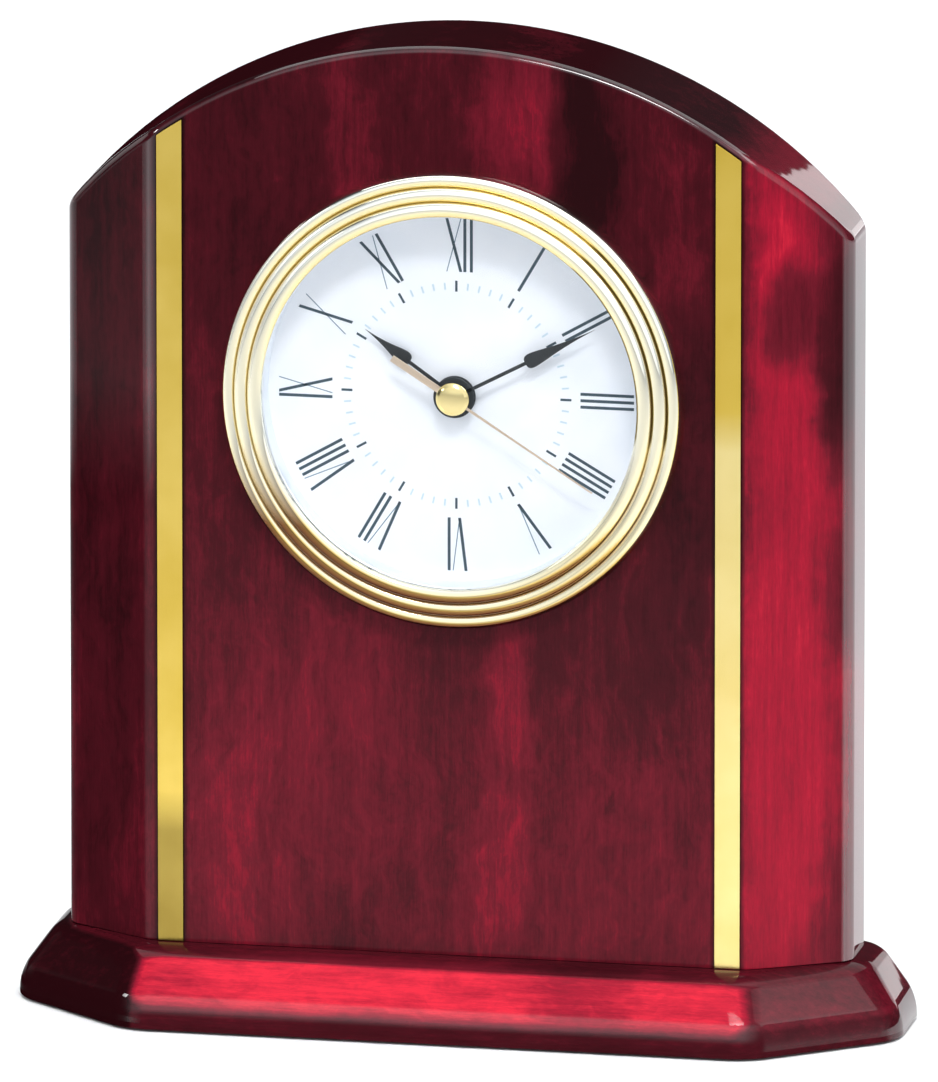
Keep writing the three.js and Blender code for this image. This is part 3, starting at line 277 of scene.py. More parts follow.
class Graph:
    """A material's nodes, with short calls to add and link them."""

    def __init__(self, name):
        self.material = bpy.data.materials.new(name)
        self.material.use_nodes = True
        self.nodes = self.material.node_tree.nodes
        self.links = self.material.node_tree.links
        self.shader = self.nodes["Principled BSDF"]

    def add(self, kind, settings=None, **inputs):
        """Adds a node. An input is named, or numbered as n0, n1 and so on."""
        node = self.nodes.new(kind)
        for key, value in (settings or {}).items():
            setattr(node, key, value)
        for key, value in inputs.items():
            self.feed(node, key, value)
        return node

    def feed(self, node, key, value):
        numbered = key[0] == "n" and key[1:].isdigit()
        socket = node.inputs[int(key[1:]) if numbered else key]
        if isinstance(value, bpy.types.NodeSocket):
            self.links.new(value, socket)
        else:
            socket.default_value = value

    def shade(self, **values):
        for key, value in values.items():
            self.feed(self.shader, key.replace("_", " "), value)

    def math(self, operation, a, b=0.0):
        return self.add("ShaderNodeMath", {"operation": operation}, n0=a, n1=b).outputs[0]

    def times(self, a, b):
        return self.math("MULTIPLY", a, b)

    def vector(self, operation, a, b=(0.0, 0.0, 0.0)):
        return self.add("ShaderNodeVectorMath", {"operation": operation}, n0=a, n1=b).outputs

    def parts(self, vector):
        """The X, Y and Z of a vector."""
        return self.add("ShaderNodeSeparateXYZ", n0=vector).outputs

    def facing(self):
        return self.add("ShaderNodeNewGeometry").outputs["Normal"]

    def total(self, first, *rest):
        for value in rest:
            first = self.math("ADD", first, value)
        return first

    def coords(self, scale=(PER_METRE,) * 3):
        """Place on the object in millimetres, stretched by scale / 1000 on each axis."""
        place = self.add("ShaderNodeTexCoord").outputs["Object"]
        return self.add("ShaderNodeMapping", Vector=place, Scale=scale).outputs[0]

    def noise(self, vector, detail, roughness=0.5):
        node = self.add("ShaderNodeTexNoise", Vector=vector, Scale=1.0, Detail=detail, Roughness=roughness)
        return node.outputs["Fac"]

    def ramp(self, value, stops):
        """Colour that follows (place, colour) stops."""
        node = self.add("ShaderNodeValToRGB", Fac=value)
        set_stops(node.color_ramp.elements, stops)
        return node.outputs["Color"]

    def curve(self, value, stops):
        """Share that follows (place, share) stops."""
        return self.ramp(value, [(place, (share,) * 3) for place, share in stops])

    def two_tone(self, value, dark, bright):
        """Colour of a noise, from dark in its lows to bright in its highs."""
        return self.ramp(value, [(NOISE_LOW, dark), (NOISE_HIGH, bright)])

    def warped(self, vector, scale, reach):
        """Moves places about by up to half of reach, as growing wood wanders."""
        drift = self.add("ShaderNodeTexNoise", Vector=vector, Scale=scale, Detail=WANDER_DETAIL)
        centred = self.vector("SUBTRACT", drift.outputs["Color"], (0.5,) * 3)[0]
        push = self.add("ShaderNodeVectorMath", {"operation": "SCALE"}, n0=centred, Scale=reach)
        return self.vector("ADD", vector, push.outputs[0])[0]

    def cloud(self, vector, middle, reach):
        """Soft round cloud: 1 at its core and 0 at its reach on each axis."""
        size = [1 / r for r in reach]
        offset = [-m / r for m, r in zip(middle, reach)]
        local = self.add("ShaderNodeMapping", Vector=vector, Scale=size, Location=offset).outputs[0]
        ball = self.add("ShaderNodeTexGradient", {"gradient_type": "SPHERICAL"}, Vector=local)
        soft = {"interpolation_type": "SMOOTHSTEP"}
        return self.add("ShaderNodeMapRange", soft, n0=ball.outputs["Fac"], n2=CLOUD_CORE).outputs[0]

    def spread(self, value, low, high):
        """Maps 0..1 noise onto low..high."""
        return self.math("ADD", self.times(value, high - low), low)

    def unit(self, value):
        """Maps -1..1 onto 0..1."""
        return self.spread(value, 0.5, 1.0)

    def between(self, value, start, end, low, high):
        """Goes from low at start to high at end, and stays level beyond them."""
        node = self.add("ShaderNodeMapRange", n0=value, n1=start, n2=end, n3=low, n4=high)
        return node.outputs[0]

    def towards(self, facing, direction, least, soft, change):
        """Becomes change where a face turns to within the cosine least of a direction."""
        match = self.vector("DOT_PRODUCT", facing, direction)["Value"]
        return self.between(match, least - soft, least + soft, 0.0, change)

    def mix(self, share, first, second):
        """Colour that goes from first to second as share goes from 0 to 1."""
        node = self.add("ShaderNodeMix", {"data_type": "RGBA"}, n0=share, n6=first, n7=second)
        return node.outputs[2]

    def bump(self, height, strength, distance_mm):
        node = self.add("ShaderNodeBump", Height=height, Strength=strength, Distance=distance_mm * MM)
        return node.outputs["Normal"]


# Ways that a face of the wood can turn
LEFT, RIGHT, UP = (-1.0, 0.0, 0.0), (1.0, 0.0, 0.0), (0.0, 0.0, 1.0)
LEFT_SHOULDER, RIGHT_SHOULDER = (-0.6, 0.0, 0.8), (0.69, 0.0, 0.72)
FRONT_SLOPE = (0.0, -0.82, 0.57)

# Lacquered rosewood: tones from shadow to bright red
WOOD_TONES = [
    (0.0, (0.016, 0.0022, 0.0034)),
    (0.3, (0.052, 0.0042, 0.0080)),
    (0.55, (0.130, 0.0070, 0.0160)),
    (0.78, (0.310, 0.0080, 0.0250)),
    (1.0, (0.660, 0.020, 0.043)),
]

# Layers of its figure: noise scale across and along the grain, detail, roughness, and reach in tone
FIGURE = (0.06, 0.018, 5.0, 0.6, 0.34)
MOTTLE = (0.22, 0.09, 7.0, 0.72, 0.24)
STREAKS = (0.42, 0.018, 4.0, 0.6, 0.2)
GRAIN = (0.9, 0.05, 4.0, 0.7, 0.17)
FIBRES = (3.4, 0.45, 3.0, 0.65, 0.1)

# Wandering of the grain: noise scale, and reach in millimetres
WIDE_WANDER = (0.03, 16.0)
FINE_WANDER = (0.16, 5.0)

# Local changes of tone: painted shadow beside the strips, painted shade at the foot, and grain that runs plain.
# Runs are in millimetres, and limits say how far a face turns to the back.
PLAIN_RUN, PLAIN_SHARE = 1.5, 0.3
STRIP_SHADOW_RUN, STRIP_SHADOW_TONE = 0.9, -0.4
FOOT_BELOW, FOOT_ABOVE, FOOT_SHADE_TONE = 0.5, 0.7, -0.17
FRONT_LIMITS = (-0.97, -0.9)
BACK_LIMITS = (0.2, 0.6)

# Lacquer: its gloss is the coat's index of refraction
FLAT_GLOSS = 1.19
LEAST_GLOSS = 1.0
WOOD_ROUGHNESS = (0.34, 0.52)
LACQUER_ROUGHNESS = 0.03
RIPPLE_SCALE = (110.0, 110.0, 60.0)
RIPPLE_DETAIL = 2.0
RIPPLE_BUMP = (0.1, 0.25)

# Gleam of the upright rounded edges, by how far they face left (0) or right (1)
EDGE_GLEAM = [
    (0.24, 0.2), (0.31, 0.45), (0.35, 1.0), (0.39, 0.6), (0.45, 0.0), (0.76, 0.0), (0.84, 1.0), (0.95, 0.6),
]
UPRIGHT_LIMITS = (0.15, 0.35)
MIDDLE_LIMITS = (-0.05, 0.05)
LEFT_TURN = (LEFT, 0.45, 0.05, 1.0)


def rosewood(
    name, along, level, cloudy, patches, painted_shading, edge_gloss, rising_gleam, turns, fade,
    straight=None, strip_shadows=(), left_fade=None, rising_sides=None, foot=None,
):
    """Red veneer under clear gloss.

    along is the grain's axis. patches are bright or dark clouds, of figure and of painted light and shade.
    The tone also takes painted light and shade by facing. Past straight the grain runs plain, dark lines of
    painted shadow lie beside strips, and below foot is painted shade.
    turns, fade and left_fade give the gloss by facing, by height, and by height at the left. Rounded
    edges gleam up to edge_gloss, by EDGE_GLEAM and, where they face up, by rising_gleam and rising_sides.
    """
    graph = Graph(name)
    place = graph.coords()
    wander = graph.warped(graph.warped(place, *WIDE_WANDER), *FINE_WANDER)
    across, _, height = graph.parts(place)
    facing = graph.facing()
    sideways, backward, upward = graph.parts(facing)

    def layer(vector, crosswise, lengthwise, detail, roughness, reach):
        """A noise drawn out along the grain, and the change of tone that it makes."""
        scale = [crosswise] * 3
        scale[along] = lengthwise
        drawn = graph.add("ShaderNodeMapping", Vector=vector, Scale=scale).outputs[0]
        noise = graph.noise(drawn, detail, roughness)
        return noise, graph.spread(noise, -reach, reach)

    clouds = graph.total(*[layer(wander, *kind)[1] for kind in (FIGURE, MOTTLE, STREAKS)])
    clouds = graph.times(clouds, cloudy)
    if straight:
        plain_grain = graph.between(across, straight, straight + PLAIN_RUN, 1.0, PLAIN_SHARE)
        clouds = graph.times(clouds, plain_grain)
    tones = [clouds, level]
    on_front = graph.between(backward, *FRONT_LIMITS, 1.0, 0.0)
    # Painted shadow beside the strips, on the front only
    for middle, half in strip_shadows:
        aside = graph.math("ABSOLUTE", graph.math("SUBTRACT", across, middle))
        groove_shadow = graph.between(aside, half, half + STRIP_SHADOW_RUN, STRIP_SHADOW_TONE, 0.0)
        tones.append(graph.times(groove_shadow, on_front))
    # Painted shade below the foot's height
    if foot:
        tones.append(graph.between(height, foot - FOOT_BELOW, foot + FOOT_ABOVE, FOOT_SHADE_TONE, 0.0))
    off_back = graph.between(backward, *BACK_LIMITS, 1.0, 0.0)
    for middle, reach, strength in patches:
        shown = graph.times(graph.cloud(wander, middle, reach), off_back)
        tones.append(graph.times(shown, strength))
    # Painted light and shade by facing
    tones += [graph.towards(facing, *turn) for turn in painted_shading]
    grain, grain_tone = layer(place, *GRAIN)
    tone = graph.total(*tones, grain_tone, layer(place, *FIBRES)[1])

    gloss = graph.total(graph.between(height, *fade), *[graph.towards(facing, *turn) for turn in turns])
    gleam = graph.curve(graph.unit(sideways), EDGE_GLEAM)
    if left_fade:
        start, end, low_change, high_change, low_gleam = left_fade
        change = graph.between(height, start, end, low_change, high_change)
        turned_left = graph.towards(facing, *LEFT_TURN)
        gloss = graph.total(gloss, graph.times(turned_left, change))
        dimmed = graph.between(height, start, end, low_gleam, 1.0)
        to_right = graph.between(sideways, *MIDDLE_LIMITS, 0.0, 1.0)
        gleam = graph.times(gleam, graph.math("MAXIMUM", dimmed, to_right))
    gleam = graph.times(gleam, graph.between(upward, *UPRIGHT_LIMITS, 1.0, 0.0))
    rising = graph.curve(upward, rising_gleam)
    if rising_sides:
        aside = graph.between(graph.math("ABSOLUTE", sideways), *rising_sides)
        rising = graph.times(rising, aside)
    rounded = graph.add("ShaderNodeAttribute", {"attribute_name": ROUNDED}).outputs["Fac"]
    gleam = graph.times(rounded, graph.total(gleam, rising))
    gloss = graph.total(gloss, graph.times(gleam, edge_gloss))
    ripple = graph.noise(graph.coords(RIPPLE_SCALE), RIPPLE_DETAIL)
    graph.shade(
        Base_Color=graph.ramp(tone, WOOD_TONES),
        Roughness=graph.spread(grain, *WOOD_ROUGHNESS),
        Specular_IOR_Level=0.0,
        Coat_Weight=1.0,
        Coat_Roughness=LACQUER_ROUGHNESS,
        Coat_IOR=graph.math("MAXIMUM", gloss, LEAST_GLOSS),
        Coat_Normal=graph.bump(ripple, *RIPPLE_BUMP),
    )
    return graph.material


# Metals: noise scales, detail and roughness, depth of scratches, and run between the colours above and below the
# height of a painted reflection
HAZE_SCALE = (60.0,) * 3
HAZE_DETAIL = 3.0
FINE_SCRATCHES = (400.0,) * 3
SCRATCH_NOISE = (4.0, 0.6)
SCRATCH_BUMP = (0.04, 0.02)
COLOUR_RUN = 4.0


def metal(name, dark, bright, roughness, brushing=FINE_SCRATCHES, low=None):
    """Metal with fine scratches. low is a height in millimetres and the two colours of a painted reflection below
    it.
    """
    graph = Graph(name)
    haze = graph.noise(graph.coords(HAZE_SCALE), HAZE_DETAIL)
    scratches = graph.noise(graph.coords(brushing), *SCRATCH_NOISE)
    colour = graph.two_tone(haze, dark, bright)
    if low:
        limit, painted_dark, painted_bright = low
        height = graph.parts(graph.coords())["Z"]
        below = graph.between(height, limit + COLOUR_RUN, limit - COLOUR_RUN, 0.0, 1.0)
        colour = graph.mix(below, colour, graph.two_tone(haze, painted_dark, painted_bright))
    graph.shade(
        Base_Color=colour,
        Metallic=1.0,
        Roughness=graph.spread(scratches, *roughness),
        Normal=graph.bump(scratches, *SCRATCH_BUMP),
    )
    return graph.material


# Painted reflection in polished gold, as of a room: pale where it faces up, and below the dial brown where it
# faces down
UPPER_GOLD = [
    (0.10, (0.76, 0.61, 0.27)),
    (0.38, (0.91, 0.77, 0.42)),
    (0.48, (1.0, 0.93, 0.68)),
    (0.60, (1.0, 0.99, 0.90)),
]
LOWER_GOLD = [
    (0.16, (0.12, 0.045, 0.02)),
    (0.36, (0.22, 0.105, 0.04)),
    (0.48, (0.32, 0.18, 0.055)),
    (0.52, (0.72, 0.50, 0.14)),
    (0.58, (0.97, 0.85, 0.53)),
    (0.78, (1.0, 0.95, 0.78)),
]
LOWER_GOLD_LIGHT = (0.5, 0.0, 0.87)
LOWER_GOLD_SLANT = 0.12
LOWER_GOLD_HEIGHTS = (-8.0, -26.0)
# Painted shade: darker gold in the grooves above and below the dial, and nearly black on faces that turn to the
# back
UPPER_GROOVE_SHADE = (0.76, 0.63, 0.30, 1.0)
LOWER_GROOVE_SHADE = (0.40, 0.23, 0.07, 1.0)
RIGHT_SHADE_COLOUR = (0.22, 0.16, 0.04, 1.0)
BEZEL_BACK_SHADE = (0.05, 0.04, 0.02, 1.0)
BEZEL_BACK_LIMITS = (0.5, 0.9)

# Inner flanks in shade at the right, and rougher places: grooves, and flanks at the left
INNER_FLANK = (-0.42, -0.56)
RIGHT_SHADE = ((0.94, 0.0, 0.34), 0.875, 0.015, 1.0)
GOLD_ROUGHNESS = (0.04, 0.09)
GROOVE_ROUGHNESS = 0.3
LEFT_FLANK_ROUGHNESS = ((-0.54, -0.79, 0.31), 0.955, 0.03, 0.34)


def stepped_gold(name, groove_radii, groove_half):
    """Polished gold of a stepped ring. The room mirrored in it is painted in, by facing and by place."""
    graph = Graph(name)
    place = graph.vector("SUBTRACT", graph.coords(), CENTRE / MM)[0]
    flat = graph.vector("MULTIPLY", place, (1.0, 0.0, 1.0))[0]
    radius = graph.vector("LENGTH", flat)["Value"]
    outward = graph.vector("NORMALIZE", flat)[0]
    facing = graph.facing()
    upper_level = graph.unit(graph.vector("DOT_PRODUCT", facing, UP)["Value"])
    lower_level = graph.unit(graph.vector("DOT_PRODUCT", facing, LOWER_GOLD_LIGHT)["Value"])
    slant = graph.times(graph.parts(outward)["X"], LOWER_GOLD_SLANT)
    lower_level = graph.total(lower_level, slant)
    low = graph.between(graph.parts(place)["Z"], *LOWER_GOLD_HEIGHTS, 0.0, 1.0)
    colour = graph.mix(low, graph.ramp(upper_level, UPPER_GOLD), graph.ramp(lower_level, LOWER_GOLD))
    groove_shade = graph.mix(low, UPPER_GROOVE_SHADE, LOWER_GROOVE_SHADE)
    roughness = graph.spread(graph.noise(graph.coords(HAZE_SCALE), HAZE_DETAIL), *GOLD_ROUGHNESS)
    # Painted shade along each groove, which is also rougher
    for groove in groove_radii:
        off = graph.math("ABSOLUTE", graph.math("SUBTRACT", radius, groove))
        inside = graph.between(off, groove_half / 2, groove_half, 1.0, 0.0)
        colour = graph.mix(inside, colour, groove_shade)
        rougher = graph.between(off, groove_half, 2 * groove_half, GROOVE_ROUGHNESS, 0.0)
        roughness = graph.total(roughness, rougher)
    roughness = graph.total(roughness, graph.towards(facing, *LEFT_FLANK_ROUGHNESS))
    inward = graph.between(graph.vector("DOT_PRODUCT", facing, outward)["Value"], *INNER_FLANK, 0.0, 1.0)
    shaded = graph.times(inward, graph.towards(outward, *RIGHT_SHADE))
    colour = graph.mix(shaded, colour, RIGHT_SHADE_COLOUR)
    # Painted shade on faces that turn to the back
    behind = graph.between(graph.parts(facing)["Y"], *BEZEL_BACK_LIMITS, 0.0, 1.0)
    colour = graph.mix(behind, colour, BEZEL_BACK_SHADE)
    graph.shade(Base_Color=colour, Metallic=1.0, Roughness=roughness)
    return graph.material


# Plain finishes and glass
TEXTURE_NOISE = (3.0, 0.6)
TEXTURE_DEPTH = 0.03
SHADE_SCALE = (90.0,) * 3
SMEAR_SCALE = (40.0,) * 3
SOFT_DETAIL = 2.0
GLASS_TINTS = ((0.02, 0.022, 0.025), (0.04, 0.042, 0.045))
GLASS_ROUGHNESS = (0.0, 0.03)
GLASS_ALPHA = 0.04


def plain(name, dark, bright, roughness, grain_mm=0.6, bump=0.15):
    """Paint, print, plastic, rubber or felt with a fine texture of a given grain."""
    graph = Graph(name)
    texture = graph.noise(graph.coords((PER_METRE / grain_mm,) * 3), *TEXTURE_NOISE)
    shade = graph.noise(graph.coords(SHADE_SCALE), SOFT_DETAIL)
    graph.shade(
        Base_Color=graph.two_tone(shade, dark, bright),
        Roughness=graph.spread(texture, *roughness),
        Normal=graph.bump(texture, bump, TEXTURE_DEPTH),
    )
    return graph.material


def clear_glass(name):
    graph = Graph(name)
    smear = graph.noise(graph.coords(SMEAR_SCALE), SOFT_DETAIL)
    graph.shade(
        Base_Color=graph.two_tone(smear, *GLASS_TINTS),
        Roughness=graph.spread(smear, *GLASS_ROUGHNESS),
        Alpha=GLASS_ALPHA,
    )
    return graph.material


# Bezel, in millimetres
BEZEL_OUTER = (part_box("bezel")[1].x - CENTRE.x) / MM
BEZEL_LIP = 37.5
BEZEL_HEIGHT = 5.6
BEZEL_STEP = 0.8
BEZEL_BEADS = (0.34, 0.32, 0.34)
BEZEL_BEAD_STEPS = 14
BEZEL_GROOVE = 0.8
BEZEL_GROOVE_HALF = 0.22
BEZEL_SEAT = 38.9
BEZEL_LIP_THICKNESS = 1.1
BEZEL_SHARP_DEGREES = 50.0
BEZEL_PITCHES = [share * (BEZEL_OUTER - BEZEL_LIP) for share in BEZEL_BEADS]
BEZEL_GROOVES = [BEZEL_OUTER - BEZEL_PITCHES[0], BEZEL_LIP + BEZEL_PITCHES[2]]

# Clouds in the body's tone: place across and height, reach on both, and how much brighter or darker.
# The first two make the front lighter low down and darker at the top; the others are figure of the wood and dark
# blotches on the right cant.
ANY = 1000.0
BODY_CLOUDS = [
    (0, 25, ANY, 85, 0.13),
    (0, 200, ANY, 75, -0.06),
    (15, 184, 15, 22, 0.28),
    (28, 179, 11, 24, -0.28),
    (-19, 183, 6, 40, 0.12),
    (-36, 166, 18, 46, -0.08),
    (46, 166, 8, 36, 0.1),
    (50, 110, 16, 46, -0.1),
    (32, 72, 22, 26, -0.06),
    (13.5, 71, 7, 22, 0.20),
    (9, 36, 10, 26, 0.12),
    (-24, 56, 26, 44, 0.06),
    (-43, 36, 9, 34, 0.12),
    # Painted light: the next two clouds brighten the right cant
    (66, 80, 17, 150, 0.42),
    (69, 165, 18, 40, 0.18),
    (69, 40, 16, 50, -0.1),
    (67.5, 147, 8, 13, -0.36),
    (75.5, 140, 5, 30, -0.34),
    (63, 160, 5, 18, 0.08),
    # Painted shade: this cloud darkens the left cant
    (-70, 100, 14, 200, -0.16),
]
BODY_PATCHES = [((x, 0.0, z), (wide, ANY, high), change) for x, z, wide, high, change in BODY_CLOUDS]

# Clouds in the base's figure: centre and reach in millimetres, and the same change
BASE_PATCHES = [
    ((-20.0, -19.0, 12.0), (40.0, 20.0, 20.0), 0.1),
    ((32.0, -19.0, 12.0), (14.0, 20.0, 20.0), -0.1),
]


def strip_shadow_span(name):
    """Middle and half width of a brass strip, in millimetres."""
    low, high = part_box(name)
    return (low.x + high.x) / 2 / MM, (high.x - low.x) / 2 / MM


# A turn is a direction, the cosine at which it starts to count, its softness, and the change
rosewood_body = rosewood(
    "rosewood_body", along=2, level=0.30, cloudy=0.8, patches=BODY_PATCHES,
    # Painted shade: the arch's top is darker where it faces up
    painted_shading=[(UP, 0.75, 0.2, -0.3)],
    edge_gloss=0.9,
    rising_gleam=[(0.2, 0.0), (0.4, 0.6)],
    turns=[
        (UP, 0.45, 0.05, -0.05),
        (UP, 0.9, 0.05, -0.03),
        (RIGHT, 0.8, 0.05, 0.32),
        (RIGHT_SHOULDER, 0.93, 0.05, 0.3),
        (LEFT_SHOULDER, 0.93, 0.03, -0.1),
    ],
    fade=(90.0, 165.0, FLAT_GLOSS, FLAT_GLOSS - 0.08),
    straight=FRONT_FLAT_HALF,
    # Painted shadow beside the two brass strips
    strip_shadows=[strip_shadow_span("trim_strip_left"), strip_shadow_span("trim_strip_right")],
    left_fade=(104.0, 128.0, -0.15, 0.04, 0.1),
)
rosewood_base = rosewood(
    "rosewood_base", along=0, level=0.44, cloudy=0.6, patches=BASE_PATCHES,
    painted_shading=[
        # Painted light and shade by facing: the ledge facing up is darker, the front slope lighter, and the left
        # and right chamfers darker
        (UP, 0.85, 0.05, -0.12),
        (FRONT_SLOPE, 0.956, 0.018, 0.42),
        (LEFT, 0.3, 0.04, -0.42),
        (RIGHT, 0.3, 0.04, -0.05),
    ],
    edge_gloss=0.8,
    rising_gleam=[(0.2, 0.0), (0.3, 1.0), (0.5, 1.0), (0.56, 0.1)],
    turns=[(LEFT, 0.3, 0.05, -0.15), (RIGHT, 0.8, 0.05, 0.38)],
    fade=(4.0, 6.5, FLAT_GLOSS - 0.1, FLAT_GLOSS),
    rising_sides=(0.28, 0.48, 1.0, 0.1),
    # Painted shade below this height
    foot=5.7,
)

# Metals: dark and bright colour, and range of roughness
BRASS_ROUGHNESS = (0.14, 0.24)
# The left strip's brass is darker below its height with painted shade, and the right strip's is paler below its
# height with a painted gleam
polished_brass = metal(
    "polished_brass", (0.72, 0.50, 0.085), (0.84, 0.61, 0.14), BRASS_ROUGHNESS, STRIP_BRUSHING,
    (SHADE_BELOW, (0.34, 0.24, 0.05), (0.44, 0.32, 0.075)),
)
brass_painted_gleam = metal(
    "brass_painted_gleam", (0.72, 0.49, 0.07), (0.82, 0.58, 0.11), BRASS_ROUGHNESS, STRIP_BRUSHING,
    (PAINTED_GLEAM_BELOW, (0.86, 0.67, 0.23), (0.96, 0.78, 0.33)),
)
WIRE_TURNS = (60.0, 2600.0, 2600.0)
polished_gold = metal("polished_gold", (0.86, 0.70, 0.38), (0.95, 0.82, 0.53), (0.05, 0.11))
cap_gold = metal("cap_gold", (0.96, 0.78, 0.34), (1.0, 0.86, 0.46), (0.14, 0.22))
pale_gold = metal("pale_gold", (0.66, 0.52, 0.39), (0.78, 0.64, 0.50), (0.30, 0.42))
mirror_silver = metal("mirror_silver", (0.86, 0.90, 0.95), (0.93, 0.96, 0.99), (0.42, 0.54))
bright_steel = metal("bright_steel", (0.50, 0.50, 0.52), (0.66, 0.66, 0.68), (0.22, 0.40))
copper_wire = metal("copper_wire", (0.45, 0.16, 0.06), (0.62, 0.26, 0.11), (0.30, 0.45), WIRE_TURNS)
magnet_iron = metal("magnet_iron", (0.08, 0.08, 0.085), (0.16, 0.16, 0.17), (0.40, 0.60))
bezel_gold = stepped_gold("bezel_gold", BEZEL_GROOVES, BEZEL_GROOVE_HALF)
crystal_clear = clear_glass("crystal_clear")

# Plain finishes: dark and bright colour, range of roughness, and grain in millimetres with its bump
FINE_PRINT = ((0.45, 0.60), 0.2, 0.05)
PLASTIC_SHEEN = (0.35, 0.50)
dial_white = plain("dial_white", (0.84, 0.885, 0.95), (0.92, 0.95, 1.0), (0.42, 0.55), 0.3, 0.03)
print_slate = plain("print_slate", (0.036, 0.066, 0.088), (0.048, 0.086, 0.112), *FINE_PRINT)
print_pale = plain("print_pale", (0.52, 0.66, 0.76), (0.60, 0.74, 0.84), *FINE_PRINT)
print_fine = plain("print_fine", (0.13, 0.21, 0.28), (0.17, 0.26, 0.34), *FINE_PRINT)
hand_black = plain("hand_black", (0.012, 0.016, 0.019), (0.022, 0.028, 0.032), (0.40, 0.55), 0.3, 0.05)
black_plastic = plain(
    "black_plastic", (0.016, 0.016, 0.018), (0.026, 0.026, 0.029), (0.30, 0.46), 0.5, 0.3,
)
black_rubber = plain("black_rubber", (0.010, 0.010, 0.010), (0.018, 0.018, 0.018), (0.70, 0.85))
black_felt = plain("black_felt", (0.016, 0.013, 0.013), (0.034, 0.028, 0.028), (0.90, 1.0), 0.35, 0.8)
plate_plastic = plain("plate_plastic", (0.62, 0.64, 0.62), (0.72, 0.74, 0.72), PLASTIC_SHEEN)
wheel_plastic = plain("wheel_plastic", (0.72, 0.68, 0.58), (0.82, 0.78, 0.68), PLASTIC_SHEEN)
board_green = plain("board_green", (0.020, 0.085, 0.032), (0.035, 0.125, 0.050), PLASTIC_SHEEN)
cell_sleeve = plain("cell_sleeve", (0.030, 0.060, 0.120), (0.045, 0.085, 0.160), (0.25, 0.38))

SLOT_MATERIALS = {
    "rosewood": rosewood_body, "brass": polished_brass,
    "gold": polished_gold, "glass": crystal_clear,
    "dial": dial_white, "black_hand": hand_black,
    "pale_gold": pale_gold, "felt": black_felt,
    "steel": bright_steel, "black_plastic": black_plastic,
    "rubber": black_rubber, "plate_plastic": plate_plastic,
    "wheel_plastic": wheel_plastic, "board": board_green,
    "copper": copper_wire, "magnet": magnet_iron,
    "cell": cell_sleeve,
}


def dress_cad_nodes():
    """Gives every carried-over node the finish of its slot."""
    for part in frame["record"]["subparts"]:
        node = frame["nodes"][part["node"]]
        node.data.materials.clear()
        node.data.materials.append(SLOT_MATERIALS[part["material_slot"]])


# Wood case
def front_depth(x):
    """How far the front lies back at a place across the body, both in millimetres."""
    half = BODY_HIGH.x / MM
    return max(0.0, abs(x) - FRONT_FLAT_HALF) * CANT_DEPTH / (half - FRONT_FLAT_HALF)


def arch_height(x, inset=0.0):
    """Height of the arch in metres above a place across the body in millimetres."""
    centre = BODY_HIGH.z - ARCH_RADIUS * MM
    radius = ARCH_RADIUS - inset
    return centre + math.sqrt(radius ** 2 - x ** 2) * MM


def upright(edge):
    a, b = edge.verts
    return abs(a.co.x - b.co.x) < NEAR and abs(a.co.y - b.co.y) < NEAR


def aside_by(edge, distance):
    """True where an edge starts at a distance to the left or right of the middle."""
    return abs(abs(edge.verts[0].co.x) - distance) < NEAR


def case_bmesh():
    half = BODY_HIGH.x / MM
    cant = half - FRONT_FLAT_HALF
    across = [-half + cant * i / CANT_COLUMNS for i in range(CANT_COLUMNS)]
    across += [-FRONT_FLAT_HALF + 2 * FRONT_FLAT_HALF * i / FLAT_COLUMNS for i in range(FLAT_COLUMNS)]
    across += [FRONT_FLAT_HALF + cant * i / CANT_COLUMNS for i in range(CANT_COLUMNS + 1)]
    bm = bmesh.new()
    bm.faces.layers.float.new(ROUNDED)
    columns = []
    for x in across:
        front = BODY_FRONT + front_depth(x) * MM
        top = arch_height(x)
        corners = [(front, BODY_LOW.z), (front, top), (BODY_BACK, top), (BODY_BACK, BODY_LOW.z)]
        columns.append([bm.verts.new((x * MM, y, z)) for y, z in corners])
    for left, right in zip(columns, columns[1:]):
        for k in range(4):
            bm.faces.new([left[k], right[k], right[(k + 1) % 4], left[(k + 1) % 4]])
    bm.faces.new(columns[0])
    bm.faces.new(columns[-1])
    bmesh.ops.recalc_face_normals(bm, faces=bm.faces)

    flat_corners = [e for e in bm.edges if upright(e) and aside_by(e, FRONT_FLAT_HALF * MM)]
    flat_corners = [e for e in flat_corners if e.verts[0].co.y < BODY_BACK - NEAR]
    round_edges(bm, flat_corners, FLAT_CORNER_ROUND, FLAT_CORNER_STEPS)
    sides = [e for e in bm.edges if upright(e) and aside_by(e, BODY_HIGH.x)]
    round_edges(bm, sides, SIDE_CORNER_ROUND, SIDE_CORNER_STEPS)
    bm.normal_update()
    rims = []
    for edge in bm.edges:
        low = max(v.co.z for v in edge.verts) < BODY_LOW.z + NEAR
        if not low and edge.is_manifold and edge.calc_face_angle() > math.radians(RIM_DEGREES):
            rims.append(edge)
    round_edges(bm, rims, EDGE_ROUND, EDGE_STEPS)
    level = math.radians(LEVEL_DEGREES)
    bmesh.ops.dissolve_limit(bm, angle_limit=level, verts=bm.verts, edges=bm.edges)
    return bm


